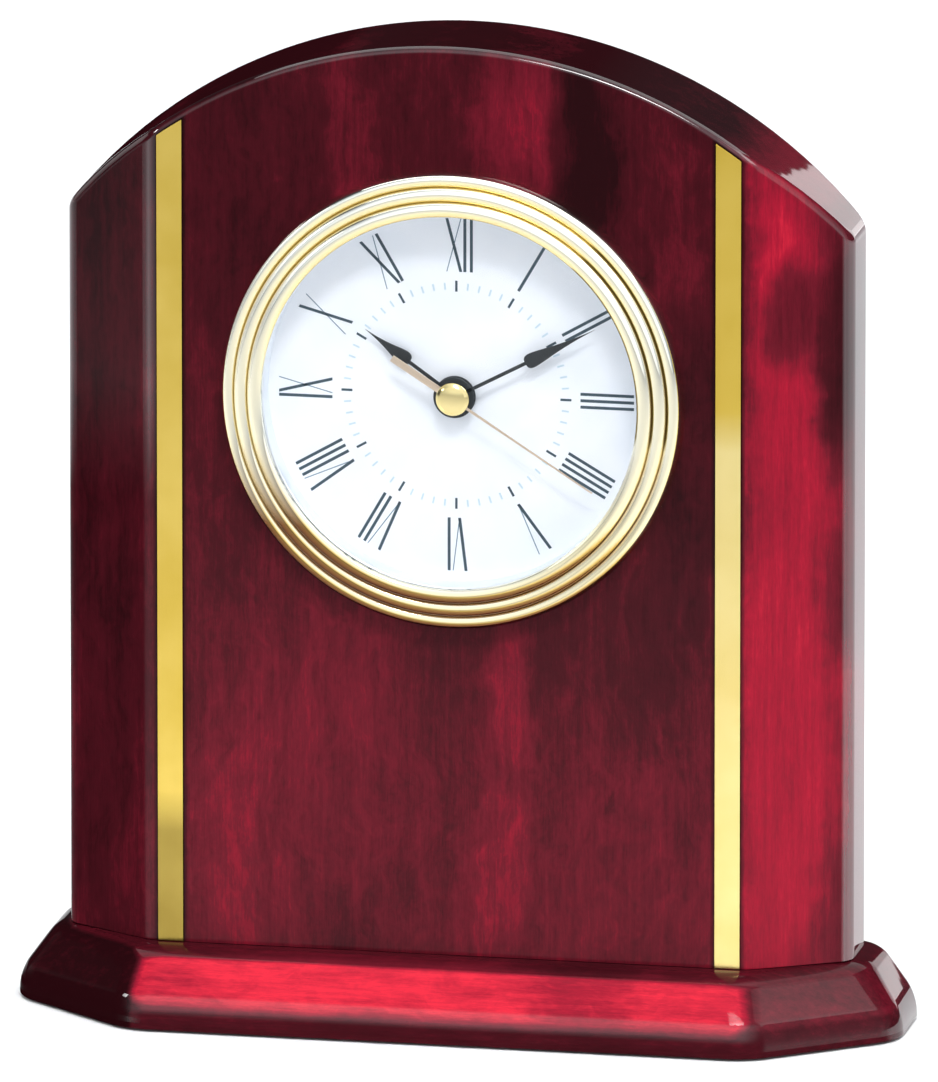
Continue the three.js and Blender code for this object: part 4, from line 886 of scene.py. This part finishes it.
def strip_outline(node, growth=0.0):
    """Outline of a brass strip, or of its groove where it grows by some millimetres."""
    low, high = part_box(node)
    x0, x1 = low.x / MM - growth, high.x / MM + growth
    tops = [x1 + (x0 - x1) * i / STRIP_TOP_STEPS for i in range(STRIP_TOP_STEPS + 1)]
    arc = [(x * MM, arch_height(x, STRIP_TOP_MARGIN - growth)) for x in tops]
    foot = BODY_LOW.z - growth * MM
    return [(x0 * MM, foot), (x1 * MM, foot)] + arc


def make_case():
    piece = add_piece("case_wood", case_bmesh(), rosewood_body, "case", "rosewood", "case_body")
    bore = [(0, BORE_FRONT), (BORE_RADIUS, BORE_FRONT), (BORE_RADIUS, BORE_BACK), (0, BORE_BACK)]
    tools = [finish_mesh(lathe(bore, BORE_STEPS), "bore")]
    strips = {"trim_strip_left": polished_brass, "trim_strip_right": brass_painted_gleam}
    for node in strips:
        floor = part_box(node)[1].y + STRIP_CLEARANCE * MM
        groove = prism(strip_outline(node, STRIP_CLEARANCE), BODY_FRONT - GROOVE_REACH * MM, floor)
        tools.append(finish_mesh(groove, "groove"))
    boolean_cut(piece, tools)
    weighted_normals(piece)
    for node, brass in strips.items():
        low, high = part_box(node)
        bm = prism(strip_outline(node), low.y, high.y, STRIP_EDGE_ROUND)
        weighted_normals(add_piece(node.replace("trim", "brass"), bm, brass, "case", "brass", node))


# Base
def base_outline(inset):
    """Plan of the base drawn in by inset millimetres at its front, cants and sides."""
    half = BASE_HIGH.x / MM - inset
    front = BASE_LOW.y / MM + inset
    run = BASE_HIGH.x / MM - BASE_FRONT_FLAT_HALF
    length = math.hypot(run, BASE_CANT_DEPTH)
    flat = BASE_FRONT_FLAT_HALF - inset * (length - run) / BASE_CANT_DEPTH
    side = BASE_LOW.y / MM + BASE_CANT_DEPTH + inset * (length - BASE_CANT_DEPTH) / run
    back = BASE_HIGH.y / MM
    return [(-flat, front), (flat, front), (half, side), (half, back), (-half, back), (-half, side)]


def make_base():
    bm = bmesh.new()
    bm.faces.layers.float.new(ROUNDED)
    edge_top = BASE_LOW.z + BASE_EDGE_HEIGHT * MM
    levels = [(BASE_LOW.z, 0.0), (edge_top, 0.0), (BASE_HIGH.z, BASE_SLOPE_RUN)]
    rings = [[bm.verts.new((x * MM, y * MM, z)) for x, y in base_outline(inset)] for z, inset in levels]
    for lower, upper in zip(rings, rings[1:]):
        for i in range(len(lower)):
            j = (i + 1) % len(lower)
            bm.faces.new([lower[i], lower[j], upper[j], upper[i]])
    bm.faces.new(rings[0])
    bm.faces.new(rings[-1])
    bmesh.ops.recalc_face_normals(bm, faces=bm.faces)
    corners = [e for e in bm.edges if abs(e.verts[0].co.z - e.verts[1].co.z) > NEAR]
    round_edges(bm, corners, BASE_CORNER_ROUND, BASE_ROUND_STEPS, gleam=0.0)
    bm.normal_update()
    creases, feet = [], []
    for edge in bm.edges:
        low, high = sorted(v.co.z for v in edge.verts)
        if high - low < CREASE_RISE * MM and edge.calc_face_angle() > math.radians(CREASE_DEGREES):
            (feet if high < BASE_LOW.z + NEAR else creases).append(edge)
    round_edges(bm, creases, BASE_CREASE_ROUND, BASE_ROUND_STEPS, CREASE_GLEAM)
    feet = [e for e in feet if e.is_valid]
    round_edges(bm, feet, BASE_FOOT_ROUND, BASE_FOOT_STEPS, gleam=0.0)
    for vert in bm.verts:
        spans = zip(BASE_LOW, vert.co, BASE_HIGH)
        vert.co = Vector([sorted(span)[1] for span in spans])
    weighted_normals(add_piece("base_wood", bm, rosewood_base, "case", "rosewood", "base_plinth"))

    back = BASE_HIGH.y / MM - FELT_MARGIN
    outline = [(x, min(y, back)) for x, y in base_outline(FELT_MARGIN)]
    bm = bmesh.new()
    face = bm.faces.new([bm.verts.new((x * MM, y * MM, FELT_LOW.z)) for x, y in outline])
    extrude(bm, [face], (0, 0, FELT_HIGH.z - FELT_LOW.z))
    rims = [e for e in bm.edges if max(v.co.z for v in e.verts) < FELT_LOW.z + NEAR]
    soften(bm, rims, FELT_EDGE_ROUND, FELT_EDGE_STEPS)
    add_piece("felt_pad", bm, black_felt, "case", "felt", "base_felt")


# Bezel, crystal, sight ring and dial, in millimetres
DIAL_RADIUS = 38.1
DIAL_HOLE = 3.3
CRYSTAL_BEVEL = 0.3
SIGHT_RADIUS = 37.6
SIGHT_BEVEL = 0.25


def make_bezel():
    profile = [(BEZEL_SEAT, 0.0), (BEZEL_OUTER, 0.0)]
    outer = BEZEL_OUTER
    for bead, pitch in enumerate(BEZEL_PITCHES):
        half = pitch / 2
        crest = (len(BEZEL_PITCHES) - 1 - bead) * BEZEL_STEP - BEZEL_HEIGHT
        outer_fall = -crest if bead == 0 else BEZEL_STEP + BEZEL_GROOVE
        for i in range(BEZEL_BEAD_STEPS + 1):
            angle = math.pi * (i + 0.5) / (BEZEL_BEAD_STEPS + 1)
            fall = outer_fall if angle < math.pi / 2 else BEZEL_GROOVE
            profile.append((outer - half + half * math.cos(angle), crest + fall * (1 - math.sin(angle))))
        outer -= pitch
    lip_back = BEZEL_LIP_THICKNESS - BEZEL_HEIGHT
    profile += [(BEZEL_LIP, lip_back), (BEZEL_SEAT, lip_back)]
    add_piece(
        "gold_bezel", lathe(profile), bezel_gold, "case", "gold", "bezel", sharp_degrees=BEZEL_SHARP_DEGREES,
    )


def make_crystal():
    front, back = depths("crystal")
    radius = (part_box("crystal")[1].x - CENTRE.x) / MM
    face = radius - CRYSTAL_BEVEL
    lens = [
        (0, front), (face, front), (radius, front + CRYSTAL_BEVEL),
        (radius, back - CRYSTAL_BEVEL), (face, back), (0, back),
    ]
    add_piece("lens", lathe(lens), crystal_clear, "case", "glass", "crystal")
    front, back = depths("sight_ring")
    face = SIGHT_RADIUS + SIGHT_BEVEL
    ring = [
        (SIGHT_RADIUS, front + SIGHT_BEVEL), (face, front), (DIAL_RADIUS, front),
        (DIAL_RADIUS, back), (face, back), (SIGHT_RADIUS, back - SIGHT_BEVEL),
    ]
    add_piece("inner_ring", lathe(ring), mirror_silver, "case", "steel", "sight_ring")


def make_dial():
    front, back = depths("dial")
    profile = [(DIAL_HOLE, front), (DIAL_RADIUS, front), (DIAL_RADIUS, back), (DIAL_HOLE, back)]
    add_piece("dial_face", lathe(profile), dial_white, "case", "dial", "dial")


# Dial printing: Roman numerals with their feet to the centre, and minute ticks
NUMERALS = ["XII", "I", "II", "III", "IIII", "V", "VI", "VII", "VIII", "IX", "X", "XI"]
NUMERAL_FOOT = 24.8
NUMERAL_TOP = 35.5
THICK_STROKE = 0.6
THIN_STROKE = 0.2
NUMERAL_SHIFTS = {"XII": 0.8, "XI": 0.4}
GLYPH_WIDTHS = {"I": 1.3, "V": 2.9, "X": 3.1}
GLYPH_GAP = 0.15
TICK_SPAN = (20.8, 23.0)
MINUTE_SPAN = (21.2, 22.6)
TICK_WIDTH = 0.48
MINUTE_WIDTH = 0.36
PRINT_LIFT = 0.02
HOUR_DEGREES = 30
MINUTE_DEGREES = 6


def stroke(bm, degrees, start, end, width):
    """One printed bar: start and end are (across, radius) in millimetres at a clock angle."""
    across = Vector(polar(degrees + 90, 1.0))
    outward = Vector(polar(degrees, 1.0))
    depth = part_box("dial")[0].y - PRINT_LIFT * MM
    corners = []
    for (u, r), side in ((start, -1), (start, 1), (end, 1), (end, -1)):
        point = across * (u + side * width / 2) + outward * r
        corners.append(bm.verts.new((CENTRE.x + point.x * MM, depth, CENTRE.z + point.y * MM)))
    bm.faces.new(corners)


def numeral(thick, thin, degrees, letters):
    """Prints a numeral's thick strokes into one bmesh and its thin ones into another."""
    left = NUMERAL_SHIFTS.get(letters, 0.0) - sum(GLYPH_WIDTHS[letter] for letter in letters) / 2

    def bar(bm, foot, top, width):
        stroke(bm, degrees, (foot, NUMERAL_FOOT), (top, NUMERAL_TOP), width)

    for letter in letters:
        width = GLYPH_WIDTHS[letter]
        middle = left + width / 2
        reach = width / 2 - GLYPH_GAP
        if letter == "I":
            bar(thick, middle, middle, THICK_STROKE)
        elif letter == "V":
            bar(thick, middle, middle - reach, THICK_STROKE)
            bar(thin, middle, middle + reach, THIN_STROKE)
        else:
            bar(thick, middle + reach, middle - reach, THICK_STROKE)
            bar(thin, middle - reach, middle + reach, THIN_STROKE)
        left += width


def film(bm):
    """Gives printed faces a film's thickness down to the dial."""
    bmesh.ops.recalc_face_normals(bm, faces=bm.faces)
    extrude(bm, list(bm.faces), (0, PRINT_LIFT * MM, 0))
    return bm


def make_printing():
    dark, fine, pale = bmesh.new(), bmesh.new(), bmesh.new()
    for hour, letters in enumerate(NUMERALS):
        degrees = hour * HOUR_DEGREES
        numeral(dark, fine, degrees, letters)
        stroke(dark, degrees, (0, TICK_SPAN[0]), (0, TICK_SPAN[1]), TICK_WIDTH)
    for degrees in range(0, 360, MINUTE_DEGREES):
        if degrees % HOUR_DEGREES:
            stroke(pale, degrees, (0, MINUTE_SPAN[0]), (0, MINUTE_SPAN[1]), MINUTE_WIDTH)
    add_piece("hour_print", film(dark), print_slate, "case", "black_hand")
    add_piece("fine_print", film(fine), print_fine, "case", "black_hand")
    add_piece("minute_print", film(pale), print_pale, "case", "dial")


# Hands at ten past ten. Lengths are in millimetres: of a leaf hand, of its stem, and across its leaf.
HOUR_ANGLE = 305.2
MINUTE_ANGLE = 62.0
SECOND_ANGLE = 122.4
HOUR_LEAF = (22.0, 11.2, 3.1)
MINUTE_LEAF = (32.0, 16.2, 2.9)
STEM_WIDTH = 0.7
LEAF_SHOULDER = 1.4
LEAF_SWELL, LEAF_WAIST, LEAF_NARROW = 0.15, 0.38, 0.2
LEAF_STEPS = 12
HAND_EDGE_ROUND = 0.06
HUB_RADIUS = 4.1
HUB_EDGE = 0.08
HUB_STEPS = 72
NEEDLE_LENGTH = 33.0
NEEDLE_ROOT_HALF, NEEDLE_TIP_HALF = 0.26, 0.13
TAIL_LENGTH, TAIL_HALF = 14.4, 0.675

# Cap of the second hand: a domed face with a fine edge, a sloped rim and an upright wall
CAP_RADIUS = 3.3
CAP_FACE = 2.6
CAP_DOME = 0.3
CAP_RIM = 0.35
CAP_EDGE = (0.1, 0.08)
CAP_FACE_STEPS = 8
CAP_STEPS = 96
CAP_SHARP_DEGREES = 12.0


def bezier(controls, t):
    """Point on a curve of any degree, by repeated steps between its controls."""
    points = [Vector(c) for c in controls]
    while len(points) > 1:
        points = [a.lerp(b, t) for a, b in zip(points, points[1:])]
    return tuple(points[0])


def leaf_outline(length, stem, leaf_width):
    """Half outline of a leaf hand as (across, along) points, from the hub to the tip."""
    half, wide = STEM_WIDTH / 2, leaf_width / 2
    widest = stem + LEAF_SHOULDER
    blade = length - widest
    shoulder = [(half, stem), (wide, stem), (wide, widest)]
    taper = [
        (wide, widest), (wide, widest + blade * LEAF_SWELL),
        (wide * LEAF_NARROW, widest + blade * LEAF_WAIST), (0.0, length),
    ]
    points = [(half, 0.0)]
    points += [bezier(shoulder, i / LEAF_STEPS) for i in range(LEAF_STEPS)]
    points += [bezier(taper, i / LEAF_STEPS) for i in range(LEAF_STEPS + 1)]
    return points


def turned_outline(points, degrees):
    """Places (across, along) points on the dial at a clock angle, in metres."""
    across, along = Vector(polar(degrees + 90, 1.0)), Vector(polar(degrees, 1.0))
    placed = [across * u + along * v for u, v in points]
    return [(CENTRE.x + p.x * MM, CENTRE.z + p.y * MM) for p in placed]


def make_hand(name, node, right, degrees, hub_radius, material, body, slot):
    """A flat hand from the right half of its outline, with a round hub."""
    low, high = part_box(node)
    left = [(-u, v) for u, v in reversed(right) if u]
    blade = prism(turned_outline(right + left, degrees), low.y, high.y, HAND_EDGE_ROUND)
    front, back = depths(node)
    face = hub_radius - HUB_EDGE
    hub = [(0, front), (face, front), (hub_radius, front + HUB_EDGE), (hub_radius, back), (0, back)]
    add_piece(name, join_bmesh(blade, lathe(hub, HUB_STEPS)), material, body, slot, node)


def make_hands():
    leaves = [
        ("hour_leaf", "hour_hand", HOUR_LEAF, HOUR_ANGLE, "hours"),
        ("minute_leaf", "minute_hand", MINUTE_LEAF, MINUTE_ANGLE, "minutes"),
    ]
    for name, node, leaf, degrees, body in leaves:
        make_hand(name, node, leaf_outline(*leaf), degrees, HUB_RADIUS, hand_black, body, "black_hand")
    needle = [
        (TAIL_HALF, -TAIL_LENGTH), (TAIL_HALF, 0.0),
        (NEEDLE_ROOT_HALF, 0.0), (NEEDLE_TIP_HALF, NEEDLE_LENGTH),
    ]
    make_hand(
        "sweep_hand", "second_hand", needle, SECOND_ANGLE, CAP_RADIUS / 2, pale_gold, "seconds", "pale_gold",
    )

    front, back = depths("hand_cap")
    edge_run, edge_fall = CAP_EDGE
    rim = front + CAP_DOME + CAP_RIM
    shares = [i / CAP_FACE_STEPS for i in range(CAP_FACE_STEPS + 1)]
    profile = [(CAP_FACE * share, front + CAP_DOME * share ** 2) for share in shares]
    profile += [(CAP_FACE + edge_run, front + CAP_DOME + edge_fall), (CAP_RADIUS - edge_run, rim)]
    profile += [(CAP_RADIUS, rim + edge_run), (CAP_RADIUS, back), (0, back)]
    cap = lathe(profile, CAP_STEPS)
    add_piece("cap", cap, cap_gold, "seconds", "gold", "hand_cap", sharp_degrees=CAP_SHARP_DEGREES)


# Back of the insert: setting knob, moulded rims and the battery door's grip, in millimetres
KNOB_RIDGES = 20
KNOB_RIDGE_STEPS = 6
KNOB_RIDGE_DEPTH = 0.35
KNOB_EDGE_ROUND = 0.4
RIM_HEIGHT = 0.6
RIM_SHOULDER = 0.4
RIM_ARC_STEPS = 8
RIM_STEPS = 96
CUP_RIM = (37.0, 38.6)
KNOB_RIM = (6.4, 7.2)
GRIP_RIBS = 5
GRIP_PITCH = 1.9
GRIP_RIB_WIDTH = 0.9
GRIP_RIB_HEIGHT = 0.5
GRIP_EDGE_ROUND = 0.27
GRIP_MARGIN = 3.2
GRIP_START = 9.0
MOULDED_STEPS = 3


def raised_rim(radii, centre, back):
    """A round-topped ring on the back of the insert, as (inner, outer) radii in millimetres."""
    inner, outer = radii
    half = (outer - inner) / 2
    profile = [(inner, back), (outer, back)]
    for i in range(RIM_ARC_STEPS + 1):
        angle = math.pi * i / RIM_ARC_STEPS
        rise = RIM_SHOULDER + (1 - RIM_SHOULDER) * math.sin(angle)
        profile.append((inner + half + half * math.cos(angle), back + RIM_HEIGHT * rise))
    return lathe(profile, RIM_STEPS, centre)


def make_back():
    low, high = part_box("set_knob")
    centre = Vector(((low.x + high.x) / 2, CENTRE.y, (low.z + high.z) / 2))
    radius = (high.x - low.x) / 2
    outline = []
    steps = KNOB_RIDGES * KNOB_RIDGE_STEPS
    for i in range(steps):
        angle = 2 * math.pi * i / steps
        r = radius - KNOB_RIDGE_DEPTH * MM * (1 - math.cos(KNOB_RIDGES * angle)) / 2
        outline.append((centre.x + r * math.sin(angle), centre.z + r * math.cos(angle)))
    knob = prism(outline, high.y, low.y, KNOB_EDGE_ROUND, MOULDED_STEPS)
    add_piece("setting_knob", knob, black_plastic, "setting", "black_plastic", "set_knob")

    cup_back = depths("insert_cup")[1]
    rims = join_bmesh(raised_rim(CUP_RIM, CENTRE, cup_back), raised_rim(KNOB_RIM, centre, cup_back))
    add_piece("moulded_rims", rims, black_plastic, "case", "black_plastic")

    low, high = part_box("battery_door")
    foot, head = low.z + GRIP_MARGIN * MM, high.z - GRIP_MARGIN * MM
    half = GRIP_RIB_WIDTH * MM / 2
    grip = bmesh.new()
    for i in range(GRIP_RIBS):
        x = high.x - (GRIP_START + i * GRIP_PITCH) * MM
        outline = [(x - half, foot), (x + half, foot), (x + half, head), (x - half, head)]
        crest = high.y + GRIP_RIB_HEIGHT * MM
        join_bmesh(grip, prism(outline, crest, high.y, GRIP_EDGE_ROUND, MOULDED_STEPS))
    add_piece("door_grip", grip, black_plastic, "door", "black_plastic")


# Stage and light, in metres and watts: each lamp's place, aim, size, power and spread in degrees
FLOOR_HALF = 6.0
FLOOR_SCALE = (20.0,) * 3
FLOOR_TINTS = ((0.90, 0.90, 0.90), (0.92, 0.92, 0.92))
FLOOR_ROUGHNESS = 0.6
MIDDLE = (0.0, 0.0, 0.1)
OPEN = 180
LAMPS = {
    "key": ((0.20, -0.74, 1.08), MIDDLE, (0.50, 0.20), 0.38, 36),
    "side_softbox": ((0.79, -0.20, 0.90), MIDDLE, (0.5, 0.5), 0.28, 50),
    "left_card": ((-0.95, -0.40, 0.64), MIDDLE, (0.14, 0.14), 1.6, OPEN),
    "overhead": ((0.0, 0.85, 1.5), (0.0, 0.75, 0.0), (2.2, 1.8), 24.0, OPEN),
    "left_rear_card": ((-0.95, 0.32, 0.30), MIDDLE, (0.6, 0.5), 0.75, OPEN),
    "rear_card": ((0.50, 1.02, 0.28), MIDDLE, (0.44, 0.36), 1.1, OPEN),
}
ROOM_LIGHT = (0.35, -0.80, 0.48)
ROOM_TONES = [(0.15, (0.045, 0.048, 0.052)), (0.75, (1.15, 1.2, 1.26))]


def make_floor():
    half = FLOOR_HALF
    corners = [(-half, -half, 0), (half, -half, 0), (half, half, 0), (-half, half, 0)]
    mesh = bpy.data.meshes.new("floor")
    mesh.from_pydata(corners, [], [range(len(corners))])
    floor = add_object("floor", mesh)
    graph = Graph("floor_white")
    speckle = graph.noise(graph.coords(FLOOR_SCALE), SOFT_DETAIL)
    graph.shade(
        Base_Color=graph.two_tone(speckle, *FLOOR_TINTS),
        Roughness=FLOOR_ROUGHNESS,
        Specular_IOR_Level=0.0,
    )
    mesh.materials.append(graph.material)


def make_light():
    for name, (place, aim, size, watts, spread) in LAMPS.items():
        light = bpy.data.lights.new(name, "AREA")
        light.shape = "RECTANGLE"
        light.size, light.size_y = size
        light.energy = watts
        light.spread = math.radians(spread)
        lamp = add_object(name, light)
        lamp.location = place
        lamp.rotation_euler = (Vector(aim) - Vector(place)).to_track_quat("-Z", "Y").to_euler()

    world = bpy.data.worlds.new("studio")
    bpy.context.scene.world = world
    world.use_nodes = True
    nodes, links = world.node_tree.nodes, world.node_tree.links
    towards = nodes.new("ShaderNodeVectorMath")
    towards.operation = "DOT_PRODUCT"
    towards.inputs[1].default_value = Vector(ROOM_LIGHT).normalized()
    links.new(nodes.new("ShaderNodeTexCoord").outputs["Generated"], towards.inputs[0])
    sweep = nodes.new("ShaderNodeValToRGB")
    links.new(towards.outputs["Value"], sweep.inputs[0])
    set_stops(sweep.color_ramp.elements, ROOM_TONES)
    links.new(sweep.outputs["Color"], nodes["Background"].inputs["Color"])


def make_camera():
    data = bpy.data.cameras.new("camera")
    data.lens = CAMERA_LENS
    data.sensor_width = SENSOR
    data.clip_end = CAMERA_REACH
    camera = add_object("camera", data)
    azimuth, elevation = math.radians(CAMERA_AZIMUTH), math.radians(CAMERA_ELEVATION)
    towards = Vector((
        math.sin(azimuth) * math.cos(elevation),
        -math.cos(azimuth) * math.cos(elevation),
        math.sin(elevation),
    ))
    distance = VIEW_HEIGHT * CAMERA_LENS / SENSOR
    camera.location = CAMERA_TARGET + towards * distance
    camera.rotation_euler = (-towards).to_track_quat("-Z", "Y").to_euler()
    bpy.context.scene.camera = camera


dress_cad_nodes()
make_case()
make_base()
make_bezel()
make_crystal()
make_dial()
make_printing()
make_hands()
make_back()
make_floor()
make_light()
make_camera()
bpy.context.scene.view_settings.view_transform = "Standard"

bpy.context.view_layer.update()
